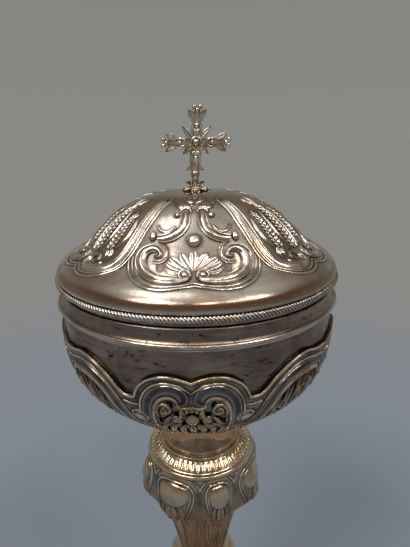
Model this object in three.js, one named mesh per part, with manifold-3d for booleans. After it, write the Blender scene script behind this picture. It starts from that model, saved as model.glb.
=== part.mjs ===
// A lidded silver ciborium with gilt trim, in millimetres. +Z is up, and the origin is the
// centre of the underside of the foot. The stand is a stack of turned and chased pieces that one
// threaded rod clamps under the cup. The lid lifts off: its bezel drops into the cup's mouth.

import * as THREE from "three";
import { mergeVertices } from "three/addons/utils/BufferGeometryUtils.js";
import Module from "manifold-3d";

const wasm = await Module();
wasm.setup();

// Clearances.
const SOLDER_GAP = 0.15; // a soldered or clamped piece and the round seat beside it
const THREAD_GAP = 0.3; // a rod or stud and its plain hole
const LID_SEAT_GAP = 0.3; // the cup's mouth and the lid at rest on it
const BEZEL_CLEARANCE = 0.4; // the lid's bezel and the cup's wall

// Sheet thicknesses.
const FOOT_WALL = 1.1;
const CALYX_WALL = 1.4;
const KNOP_WALL = 1.2;
const CUP_WALL = 1.1;
const FALSE_CUP_WALL = 0.8;
const LID_WALL = 0.9;
const BAND_WALL = 1.0;
const BEZEL_WALL = 0.8;

// Foot: a flat flange, a plain band with a corded wire round it, and a domed shell.
const FOOT_RADIUS = 64;
const FOOT_FLANGE_WIDTH = 7;
const FOOT_FLANGE_HEIGHT = 2.4;
const FOOT_BAND_HEIGHT = 3.2;
const FOOT_WIRE_RADIUS = 1.3;
const FOOT_LIP_HEIGHT = 1.8;
const FOOT_DOME_HEIGHT = 58.6;
const FOOT_NECK_RADIUS = 10;
// The dome's outline, as [share of the way out from neck to lip, share of the height].
const FOOT_OUTLINE = [[1, 0], [0.97, 0.032], [0.9, 0.083], [0.827, 0.12], [0.77, 0.175]];
const FOOT_CROWN = [[0.7, 0.27], [0.596, 0.4], [0.25, 0.7], [0.106, 0.838], [0.02, 0.95], [0, 1]];

// Stem, from the foot up to the knop.
const FOOT_COLLAR_RADIUS = 12.6;
const FOOT_COLLAR_HEIGHT = 4;
const SPOOL_WAIST_RADIUS = 8.6;
const SPOOL_END_RADIUS = 11.4;
const SPOOL_HEIGHT = 10;
const STEM_RING_RADIUS = 18;
const STEM_RING_HEIGHT = 12;
const STEM_RING_TOP_RADIUS = 13.4;
const CALYX_FOOT_RADIUS = 12.6;
const CALYX_HEIGHT = 38;
const CALYX_TOP_RADIUS = 21.6;
const CALYX_OUTLINE = [[0, 0], [0.18, 0.21], [0.42, 0.47], [0.7, 0.76], [1, 1]];

// Knop: a hollow six-lobed bulb under a moulded cap.
const KNOP_RADIUS = 30;
const KNOP_HEIGHT = 26;
const KNOP_TOP_RADIUS = 26;
const KNOP_LOBES = 8;
const KNOP_LOBE_DEPTH = 1.8;
const KNOP_WIDEST = 0.37; // share of the height at which the bulb is widest
const KNOP_CAP_OVERHANG = 0.5;
const KNOP_CAP_HEIGHT = 2.5;

// Dentil ring, neck moulding and collar between the knop and the cup.
const DENTIL_RING_HEIGHT = 3.8;
const DENTIL_RING_TOP_RADIUS = 20.4;
const DENTIL_COUNT = 54;
const DENTIL_WIDTH = 1.7;
const DENTIL_HEIGHT = 0.9;
const NECK_RING_RADIUS = 20.3;
const NECK_RING_STEP = 2;
const NECK_RING_HEIGHT = 2.7;
const COLLAR_FOOT_RADIUS = 17.4;
const COLLAR_WAIST_RADIUS = 10.6;
const COLLAR_TOP_RADIUS = 15;
const COLLAR_HEIGHT = 14.5;

// Rod, nuts and washers.
const ROD_RADIUS = 3;
const ROD_TAIL = 3;
const SPACER_WALL = 1.3;
const BOSS_RADIUS = 5.6;
const BOSS_HEIGHT = 5;
const FOOT_NUT_RADIUS = 6.4;
const FOOT_NUT_HEIGHT = 5;
const FOOT_WASHER_HEIGHT = 1.4;
const FOOT_WASHER_MARGIN = 1; // from the washer's edge to the wall of the foot's neck

// Cup and the pierced false cup round its lower part.
const CUP_RADIUS = 58.4;
const CUP_BAND_HEIGHT = 12; // the plain straight wall below the mouth
const CUP_BOWL_DEPTH = 55.4;
const CUP_WIRE_RADIUS = 0.9;
const CUP_WIRE_DROP = 6; // from the mouth down to the bead wire
const BOWL_OUTLINE = [[0.2, 0.003], [0.39, 0.04], [0.575, 0.12], [0.74, 0.245], [0.895, 0.455]];
const BOWL_SHOULDER = [[0.963, 0.685], [1, 1]];
const FALSE_CUP_GAP = 0.3;
// Depth of the false cup's edge below the cup's mouth, and the width of its two cartouches.
const SCALLOP_PEAK_DEPTH = 18;
const SCALLOP_CUSP_DEPTH = 20.5;
const SCALLOP_VALLEY_DEPTH = 25;
const NARROW_CARTOUCHE = 20; // degrees, from its middle to the valley beside it
const CARTOUCHE_PAIRS = 3;

// Lid.
const LID_BAND_HEIGHT = 4.8;
const LID_BAND_INSET = 0.6; // from the cup's outside in to the band's
const LID_WIRE_RADIUS = 1.1;
const LID_LIP_OVERHANG = 0.8; // from the cup's outside out to the lip's
const LID_LIP_HEIGHT = 2.1;
const LID_DOME_HEIGHT = 29.4;
const LID_CROWN_RADIUS = 8;
// The dome's outline, as [share of the lip radius, share of the height].
const LID_OUTLINE = [[0.977, 0.055], [0.93, 0.115], [0.873, 0.18], [0.808, 0.25], [0.76, 0.335]];
const LID_SHOULDER = [[0.66, 0.54], [0.555, 0.735], [0.465, 0.855], [0.365, 0.935], [0.265, 0.98]];
const BEZEL_DEPTH = 8; // below the cup's mouth

// Chased relief of the lid, which the foot repeats. A ridge is drawn flat as [across from its
// panel's middle, along from the lip, half its width].
const RELIEF_LIP_RADIUS = 59.2; // of the lid that the ridges are drawn for, and they grow with it
const RELIEF_RISE = 0.45; // share of a ridge's half width
const RELIEF_CREST = 0.6; // share of a ridge's width that is flat on top
const RELIEF_ROOT = 0.7; // share of the wall that a ridge sinks into
const RELIEF_PANELS = 3; // of each of the two kinds, in turn
const LID_PANEL_TURN = -1; // degrees, from the front to the lid's first cartouche
// The cartouche: the ridge along its edge, its scroll, the arm above that, and its middle boss.
const CARTOUCHE_EDGE = [[0, 11, 1.1], [9, 9.2, 1.2], [17, 10, 1.2], [21.6, 13.6, 1.2],
  [23.2, 18.6, 1]];
const CARTOUCHE_SCROLL = [[2.4, 15.2, 1.1], [8, 13.2, 2], [14.6, 14.6, 2.4], [18.4, 19.6, 2.4],
  [16.8, 25.2, 1.8], [12, 24.9, 1.1]];
const CARTOUCHE_ARM = [[2.8, 42, 1.1], [3.4, 36, 1.9], [7, 31.4, 1.9], [14.6, 30.4, 1.6]];
const CARTOUCHE_BOSS = [[0, 26.6, 1.4], [0, 28, 2.9], [0, 30.6, 2.9], [0, 32, 1.4]];
// The wheat panel: the ridge along its edge, its long scroll, and its ears.
const WHEAT_EDGE = [[0, 11.8, 1], [8, 8.9, 1.1], [16, 10.4, 1.1], [20.4, 14, 1.1], [21.9, 19.5, 1.1],
  [21.4, 25.5, 1.1], [19.2, 34, 1.1], [16.1, 42.4, 1], [12.8, 50, 0.8]];
const WHEAT_SCROLL = [[9.8, 50.5, 0.7], [13.2, 43, 1.3], [16.4, 33, 1.5], [18.5, 24, 1.7],
  [18.2, 19, 2], [15.6, 14.6, 2.1], [9.4, 12.4, 2.1], [3.4, 15.4, 1.4]];
const WHEAT_SIDE_EAR = [[9.4, 22.5, 1.2], [8.8, 30, 2.2], [7.9, 37.4, 1]];
const WHEAT_EAR = [[0, 20.4, 1.4], [0, 28, 2.4], [0, 36.4, 2.3], [0, 44, 0.8]];

// Finial.
const FINIAL_CALYX_RADIUS = 6.8;
const FINIAL_CALYX_HEIGHT = 3.5;
const FINIAL_BEAD_RADIUS = 1.3;
const FINIAL_BALL_RADIUS = 1.7;
const FINIAL_BALL_OVERLAP = 0.7; // how deep the small bead and the ball above it merge
const STUD_RADIUS = 0.8;
const CROSS_THICKNESS = 2.6;
const CROSS_BEVEL = 0.5;
const CROSS_ARM_WIDTH = 3.6;
const CROSS_END_WIDTH = 6.4;
const CROSS_UPPER_ARM = 14.8;
const CROSS_SIDE_ARM = 13.7;
const CROSS_LOWER_ARM = 10.5;
const CROSS_RAY = 7.8;
const CROSS_BOSS_RADIUS = 2.2;
const CROSS_BOSS_STANDOUT = 0.9;
const LID_WASHER_RADIUS = 4.6;
const LID_WASHER_HEIGHT = 0.9;
const LID_NUT_RADIUS = 3;
const LID_NUT_HEIGHT = 2.6;
const STUD_TAIL = 1;

// Facets round a full turn.
const LARGE_ROUND = 32;
const KNOP_ROUND = 40; // a multiple of the lobes
const SMALL_ROUND = 18;
const WIRE_SIDES = 6;
const SCALLOP_ROUND = 72;

// Corners closer than this are one. It isn't a round number, so that no size falls halfway.
const MERGE_DISTANCE = 0.0013;

// Heights of the faces where one piece stands on the next.
const flangeTop = FOOT_FLANGE_HEIGHT;
const footBandTop = flangeTop + FOOT_BAND_HEIGHT;
const footLipTop = footBandTop + FOOT_LIP_HEIGHT;
const footTop = footLipTop + FOOT_DOME_HEIGHT;
const footCollarTop = footTop + FOOT_COLLAR_HEIGHT;
const spoolTop = footCollarTop + SPOOL_HEIGHT;
const stemRingTop = spoolTop + STEM_RING_HEIGHT;
const calyxTop = stemRingTop + CALYX_HEIGHT;
const knopTop = calyxTop + KNOP_HEIGHT;
const knopCapTop = knopTop + KNOP_CAP_HEIGHT;
const dentilRingTop = knopCapTop + DENTIL_RING_HEIGHT;
const neckRingTop = dentilRingTop + NECK_RING_HEIGHT;
const collarTop = neckRingTop + COLLAR_HEIGHT;
const cupBottom = collarTop + FALSE_CUP_WALL + FALSE_CUP_GAP;
const bowlTop = cupBottom + CUP_BOWL_DEPTH;
const mouth = bowlTop + CUP_BAND_HEIGHT;
const lidBandBottom = mouth + LID_SEAT_GAP;
const lidBandTop = lidBandBottom + LID_BAND_HEIGHT;
const lidLipTop = lidBandTop + LID_LIP_HEIGHT;
const lidTop = lidLipTop + LID_DOME_HEIGHT;
const finialCalyxTop = lidTop + FINIAL_CALYX_HEIGHT;
const beadCentre = finialCalyxTop + FINIAL_BEAD_RADIUS;
const ballCentre = beadCentre + FINIAL_BEAD_RADIUS + FINIAL_BALL_RADIUS - FINIAL_BALL_OVERLAP;
const ballTop = ballCentre + FINIAL_BALL_RADIUS;
const crossCentre = ballTop + CROSS_LOWER_ARM;

// Radii that two or more pieces share.
const rodHole = ROD_RADIUS + THREAD_GAP;
const spacerRadius = rodHole + SPACER_WALL;
const spacerHole = spacerRadius + THREAD_GAP;
const studHole = STUD_RADIUS + THREAD_GAP;
const bossHole = BOSS_RADIUS + THREAD_GAP;
const knopCapRadius = KNOP_TOP_RADIUS + KNOP_CAP_OVERHANG;
const footBandRadius = FOOT_RADIUS - 2 * FOOT_WIRE_RADIUS - 2 * SOLDER_GAP;
const footLipRadius = footBandRadius + FOOT_WIRE_RADIUS;
const footNeckHole = FOOT_NECK_RADIUS - FOOT_WALL;
const bezelRadius = CUP_RADIUS - CUP_WALL - BEZEL_CLEARANCE;
const lidBandRadius = CUP_RADIUS - LID_BAND_INSET;
const lidLipRadius = CUP_RADIUS + LID_LIP_OVERHANG;

const SILVER = { color: 0xa39a8f, roughness: 0.3, metalness: 1 };
const DARK_SILVER = { color: 0x77706b, roughness: 0.36, metalness: 1 };
const GILT = { color: 0xb08d55, roughness: 0.28, metalness: 1 };
const STEEL = { color: 0x8a8a88, roughness: 0.45, metalness: 1 };

const ciborium = new THREE.Group();

const add = (name, geometry, finish) => {
  const mesh = new THREE.Mesh(geometry, new THREE.MeshStandardMaterial(finish));
  mesh.name = name;
  ciborium.add(mesh);
};

// A smooth curve through [radius, height] points.
const curve = (points, steps) =>
  new THREE.SplineCurve(points.map(([r, z]) => new THREE.Vector2(r, z)))
    .getPoints(steps)
    .map((point) => [point.x, point.y]);

// Points of an arc from one angle to another, in degrees, with both ends.
const arc = (r, z, radius, from, to, steps) =>
  Array.from({ length: steps + 1 }, (_, i) => {
    const angle = THREE.MathUtils.degToRad(from + ((to - from) * i) / steps);
    return [r + radius * Math.cos(angle), z + radius * Math.sin(angle)];
  });

// The section of a sheet whose outer face follows a line that is listed from bottom to top.
// Each end is cut level, or plumb where the sheet ends at the axis or round a hole.
const sheet = (outer, wall, lowerCut, upperCut) => {
  const last = outer.length - 1;
  const inner = outer.map(([r, z], i) => {
    const [r0, z0] = outer[Math.max(i - 1, 0)];
    const [r1, z1] = outer[Math.min(i + 1, last)];
    const length = Math.hypot(r1 - r0, z1 - z0);
    return [Math.max(r - ((z1 - z0) / length) * wall, 0), z + ((r1 - r0) / length) * wall];
  });
  const cut = (i, kind) => {
    inner[i] = kind === "level" ? [inner[i][0], outer[i][1]] : [outer[i][0], inner[i][1]];
  };
  cut(0, lowerCut);
  cut(last, upperCut);
  return [...outer, ...inner.reverse()];
};

// A solid of revolution whose section may change with the angle round the axis.
// sectionAt lists [radius, height] points of a closed outline, equally many at every angle.
const turnedBy = (sectionAt, segments) => {
  const closed = (angle) => {
    const points = sectionAt(angle);
    return [...points, points[0]];
  };
  const start = closed(0);
  const area = start.slice(1).reduce((sum, [r, z], i) => sum + start[i][0] * z - r * start[i][1], 0);
  const outline = (angle) => (area > 0 ? closed(angle) : closed(angle).reverse());
  const count = start.length;
  const geometry = new THREE.LatheGeometry(
    outline(0).map(([r, z]) => new THREE.Vector2(r, z)),
    segments,
  );
  const position = geometry.getAttribute("position");
  for (let step = 0; step <= segments; step++) {
    const angle = (2 * Math.PI * (step % segments)) / segments;
    outline(angle).forEach(([r, z], i) => {
      position.setXYZ(step * count + i, r * Math.sin(angle), z, r * Math.cos(angle));
    });
  }
  return geometry.rotateX(Math.PI / 2);
};

const turned = (section, segments) => turnedBy(() => section, segments);

// A plain ring or disc with square edges.
const band = (inner, outer, bottom, top, segments) =>
  turned([[inner, bottom], [outer, bottom], [outer, top], [inner, top]], segments);

const wire = (radius, height, wireRadius, segments) =>
  turned(arc(radius, height, wireRadius, 0, 360, WIRE_SIDES).slice(1), segments);

const toSolid = (geometry) => {
  const bare = geometry.clone();
  bare.deleteAttribute("normal");
  bare.deleteAttribute("uv");
  const merged = mergeVertices(bare, MERGE_DISTANCE);
  const corners = Array.from(merged.index.array);
  const faces = [];
  for (let i = 0; i < corners.length; i += 3) {
    const face = corners.slice(i, i + 3);
    if (new Set(face).size === 3) faces.push(...face);
  }
  return new wasm.Manifold(new wasm.Mesh({
    numProp: 3,
    vertProperties: merged.getAttribute("position").array,
    triVerts: new Uint32Array(faces),
  }));
};

const toGeometry = (solid) => {
  const mesh = solid.getMesh();
  return new THREE.BufferGeometry()
    .setAttribute("position", new THREE.BufferAttribute(mesh.vertProperties, 3))
    .setIndex(new THREE.BufferAttribute(mesh.triVerts, 1));
};

const joined = (geometries) =>
  toGeometry(geometries.map(toSolid).reduce((whole, piece) => whole.add(piece)));

// Finds the point at a place that is drawn flat on a sheet, across and along it, and at a height
// above it. outline lists the sheet's outer face from the lip up.
const onSheet = (outline, turn) => {
  const scale = lidLipRadius / RELIEF_LIP_RADIUS;
  const length = (i) => Math.hypot(outline[i + 1][0] - outline[i][0], outline[i + 1][1] - outline[i][1]);
  return (across, along, rise) => {
    let left = along * scale;
    let i = 0;
    while (i < outline.length - 2 && left > length(i)) {
      left -= length(i);
      i += 1;
    }
    const [r0, z0] = outline[i];
    const [r1, z1] = outline[i + 1];
    const r = THREE.MathUtils.lerp(r0, r1, left / length(i));
    const z = THREE.MathUtils.lerp(z0, z1, left / length(i));
    const far = r + (rise * (z1 - z0)) / length(i);
    const angle = THREE.MathUtils.degToRad(turn) + (across * scale) / r;
    return [far * Math.sin(angle), -far * Math.cos(angle), z + (rise * (r0 - r1)) / length(i)];
  };
};

// A ridge on a sheet: a low trapezium swept along its path.
const ridge = (outline, wall, path, turn) => {
  const place = onSheet(outline, turn);
  const corners = path.flatMap(([across, along, half], i) => {
    const before = path[Math.max(i - 1, 0)];
    const after = path[Math.min(i + 1, path.length - 1)];
    const heading = new THREE.Vector2(after[0] - before[0], after[1] - before[1]).normalize();
    const corner = (side, rise) =>
      place(across + side * half * heading.y, along - side * half * heading.x, rise);
    const root = -RELIEF_ROOT * wall;
    const crest = RELIEF_RISE * half;
    return [corner(-1, root), corner(-RELIEF_CREST, crest), corner(RELIEF_CREST, crest), corner(1, root)];
  });
  const last = corners.length - 4;
  const faces = [0, 3, 2, 0, 2, 1, last, last + 1, last + 2, last, last + 2, last + 3];
  for (let ring = 0; ring < last; ring += 4) {
    for (let side = 0; side < 4; side++) {
      const near = ring + side;
      const beside = ring + ((side + 1) % 4);
      faces.push(beside, beside + 4, near + 4, beside, near + 4, near);
    }
  }
  return new THREE.BufferGeometry()
    .setAttribute("position", new THREE.Float32BufferAttribute(corners.flat(), 3))
    .setIndex(faces);
};

// The ridges of all panels of a sheet, the first cartouche at the given turn.
const relief = (outline, wall, firstTurn, cartouche, wheat) => {
  const kinds = [cartouche, wheat];
  const count = kinds.length * RELIEF_PANELS;
  return Array.from({ length: count }, (_, i) =>
    kinds[i % kinds.length].map((path) => ridge(outline, wall, path, firstTurn + (360 * i) / count)))
    .flat();
};

const mirrored = (path) => path.map(([across, along, half]) => [-across, along, half]);
const pair = (path) => [path, mirrored(path)];
// A ridge that crosses the panel's middle, where its path starts.
const whole = (path) => [...mirrored(path.slice(1)).reverse(), ...path];

// A hexagonal nut with its hole on the axis.
const nut = (radius, hole, bottom, height) => {
  const corner = (r, i) => [r * Math.cos((i * Math.PI) / 3), r * Math.sin((i * Math.PI) / 3)];
  const shape = new THREE.Shape();
  shape.moveTo(...corner(radius, 0));
  for (let i = 1; i < 6; i++) shape.lineTo(...corner(radius, i));
  shape.closePath();
  const opening = new THREE.Path();
  opening.absarc(0, 0, hole, 0, 2 * Math.PI, true);
  shape.holes.push(opening);
  return new THREE.ExtrudeGeometry(shape, { depth: height, bevelEnabled: false, curveSegments: 12 })
    .translate(0, 0, bottom);
};

// Foot.

const footFlange = () => {
  const edge = FOOT_FLANGE_HEIGHT / 3;
  return turned([
    [FOOT_RADIUS - FOOT_FLANGE_WIDTH, 0],
    [FOOT_RADIUS, 0],
    [FOOT_RADIUS, flangeTop - edge],
    [FOOT_RADIUS - edge, flangeTop],
    [FOOT_RADIUS - FOOT_FLANGE_WIDTH, flangeTop],
  ], LARGE_ROUND);
};

const footShell = () => {
  const spread = footLipRadius - FOOT_NECK_RADIUS;
  const place = ([out, up]) => [FOOT_NECK_RADIUS + out * spread, footLipTop + up * FOOT_DOME_HEIGHT];
  const bulge = FOOT_LIP_HEIGHT / 5;
  const dome = curve([...FOOT_OUTLINE, ...FOOT_CROWN].map(place), 8);
  const lip = [[footLipRadius, footBandTop], [footLipRadius + bulge, (footBandTop + footLipTop) / 2]];
  const section = sheet([...lip, ...dome], FOOT_WALL, "level", "level");
  const outerCount = section.length / 2;
  const innerTop = footTop - FOOT_WALL;
  const inside = section.slice(outerCount).filter(([, z]) => z < innerTop);
  const crown = [[rodHole, footTop], [rodHole, innerTop], [footNeckHole, innerTop]];
  const shell = turned([...section.slice(0, outerCount), ...crown, ...inside], LARGE_ROUND);
  const cartouche = [whole(CARTOUCHE_EDGE), ...pair(CARTOUCHE_SCROLL)];
  return joined([shell, ...relief([...lip, ...dome], FOOT_WALL, 0, cartouche, [whole(WHEAT_EDGE)])]);
};

add("foot_flange", footFlange(), SILVER);
add("foot_rim_band",
  band(footBandRadius - BAND_WALL, footBandRadius, flangeTop, footBandTop, LARGE_ROUND), SILVER);
add("foot_cord_wire",
  wire(footBandRadius + SOLDER_GAP + FOOT_WIRE_RADIUS, (flangeTop + footBandTop) / 2,
    FOOT_WIRE_RADIUS, LARGE_ROUND), SILVER);
add("foot_shell", footShell(), SILVER);

// Stem.

const footCollar = () => {
  const half = FOOT_COLLAR_HEIGHT / 2;
  const round = arc(FOOT_COLLAR_RADIUS - half, footTop + half, half, -90, 90, 4);
  return turned([[rodHole, footTop], ...round, [rodHole, footCollarTop]], SMALL_ROUND);
};

const stemSpool = () => {
  const half = SPOOL_HEIGHT / 2;
  const outline = curve([
    [SPOOL_END_RADIUS, footCollarTop],
    [SPOOL_WAIST_RADIUS, footCollarTop + half],
    [SPOOL_END_RADIUS, spoolTop],
  ], 6);
  return turned([[rodHole, footCollarTop], ...outline, [rodHole, spoolTop]], SMALL_ROUND);
};

const stemRing = () => {
  const half = STEM_RING_HEIGHT / 2;
  const outline = curve([
    [STEM_RING_TOP_RADIUS, spoolTop],
    [STEM_RING_RADIUS - half / 3, spoolTop + half / 3],
    [STEM_RING_RADIUS, spoolTop + half],
    [STEM_RING_RADIUS - half / 3, stemRingTop - half / 3],
    [STEM_RING_TOP_RADIUS, stemRingTop],
  ], 10);
  return turned([[rodHole, spoolTop], ...outline, [rodHole, stemRingTop]], SMALL_ROUND);
};

const knopCalyx = () => {
  const spread = CALYX_TOP_RADIUS - CALYX_FOOT_RADIUS;
  const place = ([out, up]) => [CALYX_FOOT_RADIUS + out * spread, stemRingTop + up * CALYX_HEIGHT];
  const section = sheet(curve(CALYX_OUTLINE.map(place), 6), CALYX_WALL, "level", "level");
  const outerCount = section.length / 2;
  const floor = stemRingTop + CALYX_WALL;
  const inside = section.slice(outerCount).filter(([, z]) => z > floor);
  const base = [[section.at(-1)[0], floor], [spacerHole, floor], [spacerHole, stemRingTop]];
  return turned([...section.slice(0, outerCount), ...inside, ...base], LARGE_ROUND);
};

// The lobes fade out at the bulb's round upper and lower edges.
const knopBody = () => {
  const place = (r, up) => [r, calyxTop + up * KNOP_HEIGHT];
  const lowerSwell = KNOP_RADIUS - CALYX_TOP_RADIUS;
  const upperSwell = KNOP_RADIUS - KNOP_TOP_RADIUS;
  const outline = curve([
    place(CALYX_TOP_RADIUS, 0),
    place(CALYX_TOP_RADIUS + 0.45 * lowerSwell, 0.06),
    place(CALYX_TOP_RADIUS + 0.78 * lowerSwell, 0.15),
    place(CALYX_TOP_RADIUS + 0.95 * lowerSwell, 0.25),
    place(KNOP_RADIUS, KNOP_WIDEST),
    place(KNOP_RADIUS - 0.25 * upperSwell, 0.68),
    place(KNOP_TOP_RADIUS, 1),
  ], 8);
  const section = sheet(outline, KNOP_WALL, "level", "level");
  const lobed = (angle) => section.map(([r, z]) => {
    const up = THREE.MathUtils.clamp((z - calyxTop) / KNOP_HEIGHT, 0, 1);
    const valley = (1 + Math.cos(KNOP_LOBES * angle)) / 2;
    return [r - KNOP_LOBE_DEPTH * valley * Math.sin(Math.PI * up), z];
  });
  return turnedBy(lobed, KNOP_ROUND);
};

const knopCap = () => {
  const half = KNOP_CAP_HEIGHT / 2;
  const round = arc(knopCapRadius - half, knopTop + half, half, -90, 90, 4);
  return turned([[rodHole, knopTop], ...round, [rodHole, knopCapTop]], LARGE_ROUND);
};

add("foot_collar", footCollar(), GILT);
add("stem_spool", stemSpool(), GILT);
add("stem_ring", stemRing(), GILT);
add("knop_calyx", knopCalyx(), GILT);
add("spacer_tube", band(rodHole, spacerRadius, stemRingTop, knopTop, SMALL_ROUND), STEEL);
add("knop_body", knopBody(), GILT);
add("knop_cap", knopCap(), GILT);

// Dentil ring, neck moulding and collar.

const dentilRing = () => {
  const footRadius = knopCapRadius - DENTIL_HEIGHT;
  const drop = DENTIL_RING_HEIGHT - DENTIL_HEIGHT;
  const slope = Math.hypot(footRadius - DENTIL_RING_TOP_RADIUS, drop);
  const cone = turned([
    [bossHole, knopCapTop],
    [footRadius, knopCapTop],
    [footRadius, dentilRingTop - drop],
    [DENTIL_RING_TOP_RADIUS, dentilRingTop],
    [bossHole, dentilRingTop],
  ], DENTIL_COUNT);
  const middle = [(footRadius + DENTIL_RING_TOP_RADIUS) / 2, dentilRingTop - drop / 2];
  const tilt = Math.atan2(drop, footRadius - DENTIL_RING_TOP_RADIUS);
  const dentils = Array.from({ length: DENTIL_COUNT }, (_, i) =>
    new THREE.BoxGeometry(slope * 0.7, DENTIL_WIDTH, 2 * DENTIL_HEIGHT)
      .rotateY(tilt)
      .translate(middle[0], 0, middle[1])
      .rotateZ((2 * Math.PI * (i + 0.5)) / DENTIL_COUNT));
  return joined([cone, ...dentils]);
};

const neckRing = () => {
  const half = NECK_RING_HEIGHT / 4;
  const lower = arc(NECK_RING_RADIUS - half, dentilRingTop + half, half, -90, 90, 4);
  const upper = arc(NECK_RING_RADIUS - NECK_RING_STEP - half, neckRingTop - half, half, -90, 90, 4);
  return turned([[bossHole, dentilRingTop], ...lower, ...upper, [bossHole, neckRingTop]], SMALL_ROUND);
};

const cupCollar = () => {
  const place = (r, up) => [r, neckRingTop + up * COLLAR_HEIGHT];
  const between = (r, share) => COLLAR_WAIST_RADIUS + share * (r - COLLAR_WAIST_RADIUS);
  const outline = curve([
    place(COLLAR_FOOT_RADIUS, 0),
    place(between(COLLAR_FOOT_RADIUS, 0.62), 0.09),
    place(between(COLLAR_FOOT_RADIUS, 0.16), 0.32),
    place(COLLAR_WAIST_RADIUS, 0.56),
    place(between(COLLAR_TOP_RADIUS, 0.3), 0.82),
    place(COLLAR_TOP_RADIUS, 1),
  ], 8);
  return turned([[bossHole, neckRingTop], ...outline, [bossHole, collarTop]], SMALL_ROUND);
};

add("dentil_ring", dentilRing(), GILT);
add("neck_ring", neckRing(), GILT);
add("cup_collar", cupCollar(), GILT);

// Cup.

const bowlOutline = curve(
  [...BOWL_OUTLINE, ...BOWL_SHOULDER].map(([out, up]) => [
    out * CUP_RADIUS,
    cupBottom + up * CUP_BOWL_DEPTH,
  ]),
  8,
);
const wireHeight = mouth - CUP_WIRE_DROP;

const cupBowl = () => {
  const outer = [[0, cupBottom], [bossHole, cupBottom], ...bowlOutline, [CUP_RADIUS, mouth]];
  return turned(sheet(outer, CUP_WALL, "plumb", "level"), LARGE_ROUND);
};

// The depth of the false cup's edge: two arches over each cartouche, with a cusp between them
// and a valley between one cartouche and the next.
const scallopDepth = (angle) => {
  const period = 360 / CARTOUCHE_PAIRS;
  const turn = THREE.MathUtils.radToDeg(angle) % period;
  const offset = Math.min(turn, period - turn);
  const wide = period / 2 - NARROW_CARTOUCHE;
  const narrow = offset <= NARROW_CARTOUCHE;
  const share = narrow ? offset / NARROW_CARTOUCHE : (period / 2 - offset) / wide;
  const arch = Math.sin(Math.PI * share ** 0.8);
  const base = THREE.MathUtils.lerp(SCALLOP_CUSP_DEPTH, SCALLOP_VALLEY_DEPTH, share ** 2);
  return THREE.MathUtils.lerp(base, SCALLOP_PEAK_DEPTH, Math.sqrt(Math.max(arch, 0)));
};

const falseCup = () => {
  const line = [[bossHole, cupBottom], ...bowlOutline, [CUP_RADIUS, mouth]];
  const outward = (distance) => sheet(line, -distance, "plumb", "level").slice(line.length).reverse();
  const valley = mouth - SCALLOP_VALLEY_DEPTH;
  const pointAt = (points, height) => {
    const above = points.findIndex(([, z]) => z > height);
    const [r0, z0] = points[above - 1];
    const [r1, z1] = points[above];
    return [r0 + ((r1 - r0) * (height - z0)) / (z1 - z0), height];
  };
  const upTo = (points, edge) => {
    const below = points.filter(([, z]) => z < valley);
    const base = below.at(-1)[1];
    return [...below, pointAt(points, (base + edge) / 2), pointAt(points, edge)];
  };
  const innerLine = outward(FALSE_CUP_GAP);
  const outerLine = outward(FALSE_CUP_GAP + FALSE_CUP_WALL);
  return turnedBy((angle) => {
    const edge = mouth - scallopDepth(angle);
    return [...upTo(outerLine, edge), ...upTo(innerLine, edge).reverse()];
  }, SCALLOP_ROUND);
};

add("cup_bowl", cupBowl(), DARK_SILVER);
add("cup_bead_wire",
  wire(CUP_RADIUS + SOLDER_GAP + CUP_WIRE_RADIUS, wireHeight, CUP_WIRE_RADIUS, LARGE_ROUND), SILVER);
add("false_cup", falseCup(), DARK_SILVER);

// Rod, boss, washer and nut that clamp the stand together.

const bossBottom = cupBottom - BOSS_HEIGHT;
const rodTop = cupBottom - CUP_WALL;
const washerBottom = footTop - FOOT_WALL - FOOT_WASHER_HEIGHT;
const nutBottom = washerBottom - FOOT_NUT_HEIGHT;

const cupBoss = () => turned([
  [0, cupBottom],
  [0, rodTop],
  [rodHole, rodTop],
  [rodHole, bossBottom],
  [BOSS_RADIUS, bossBottom],
  [BOSS_RADIUS, cupBottom],
], SMALL_ROUND);

add("cup_boss", cupBoss(), STEEL);
add("tie_rod", band(0, ROD_RADIUS, nutBottom - ROD_TAIL, rodTop, SMALL_ROUND), STEEL);
add("foot_washer",
  band(rodHole, footNeckHole - FOOT_WASHER_MARGIN, washerBottom, footTop - FOOT_WALL, SMALL_ROUND), STEEL);
add("foot_nut", nut(FOOT_NUT_RADIUS, rodHole, nutBottom, FOOT_NUT_HEIGHT), STEEL);

// Lid.

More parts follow.
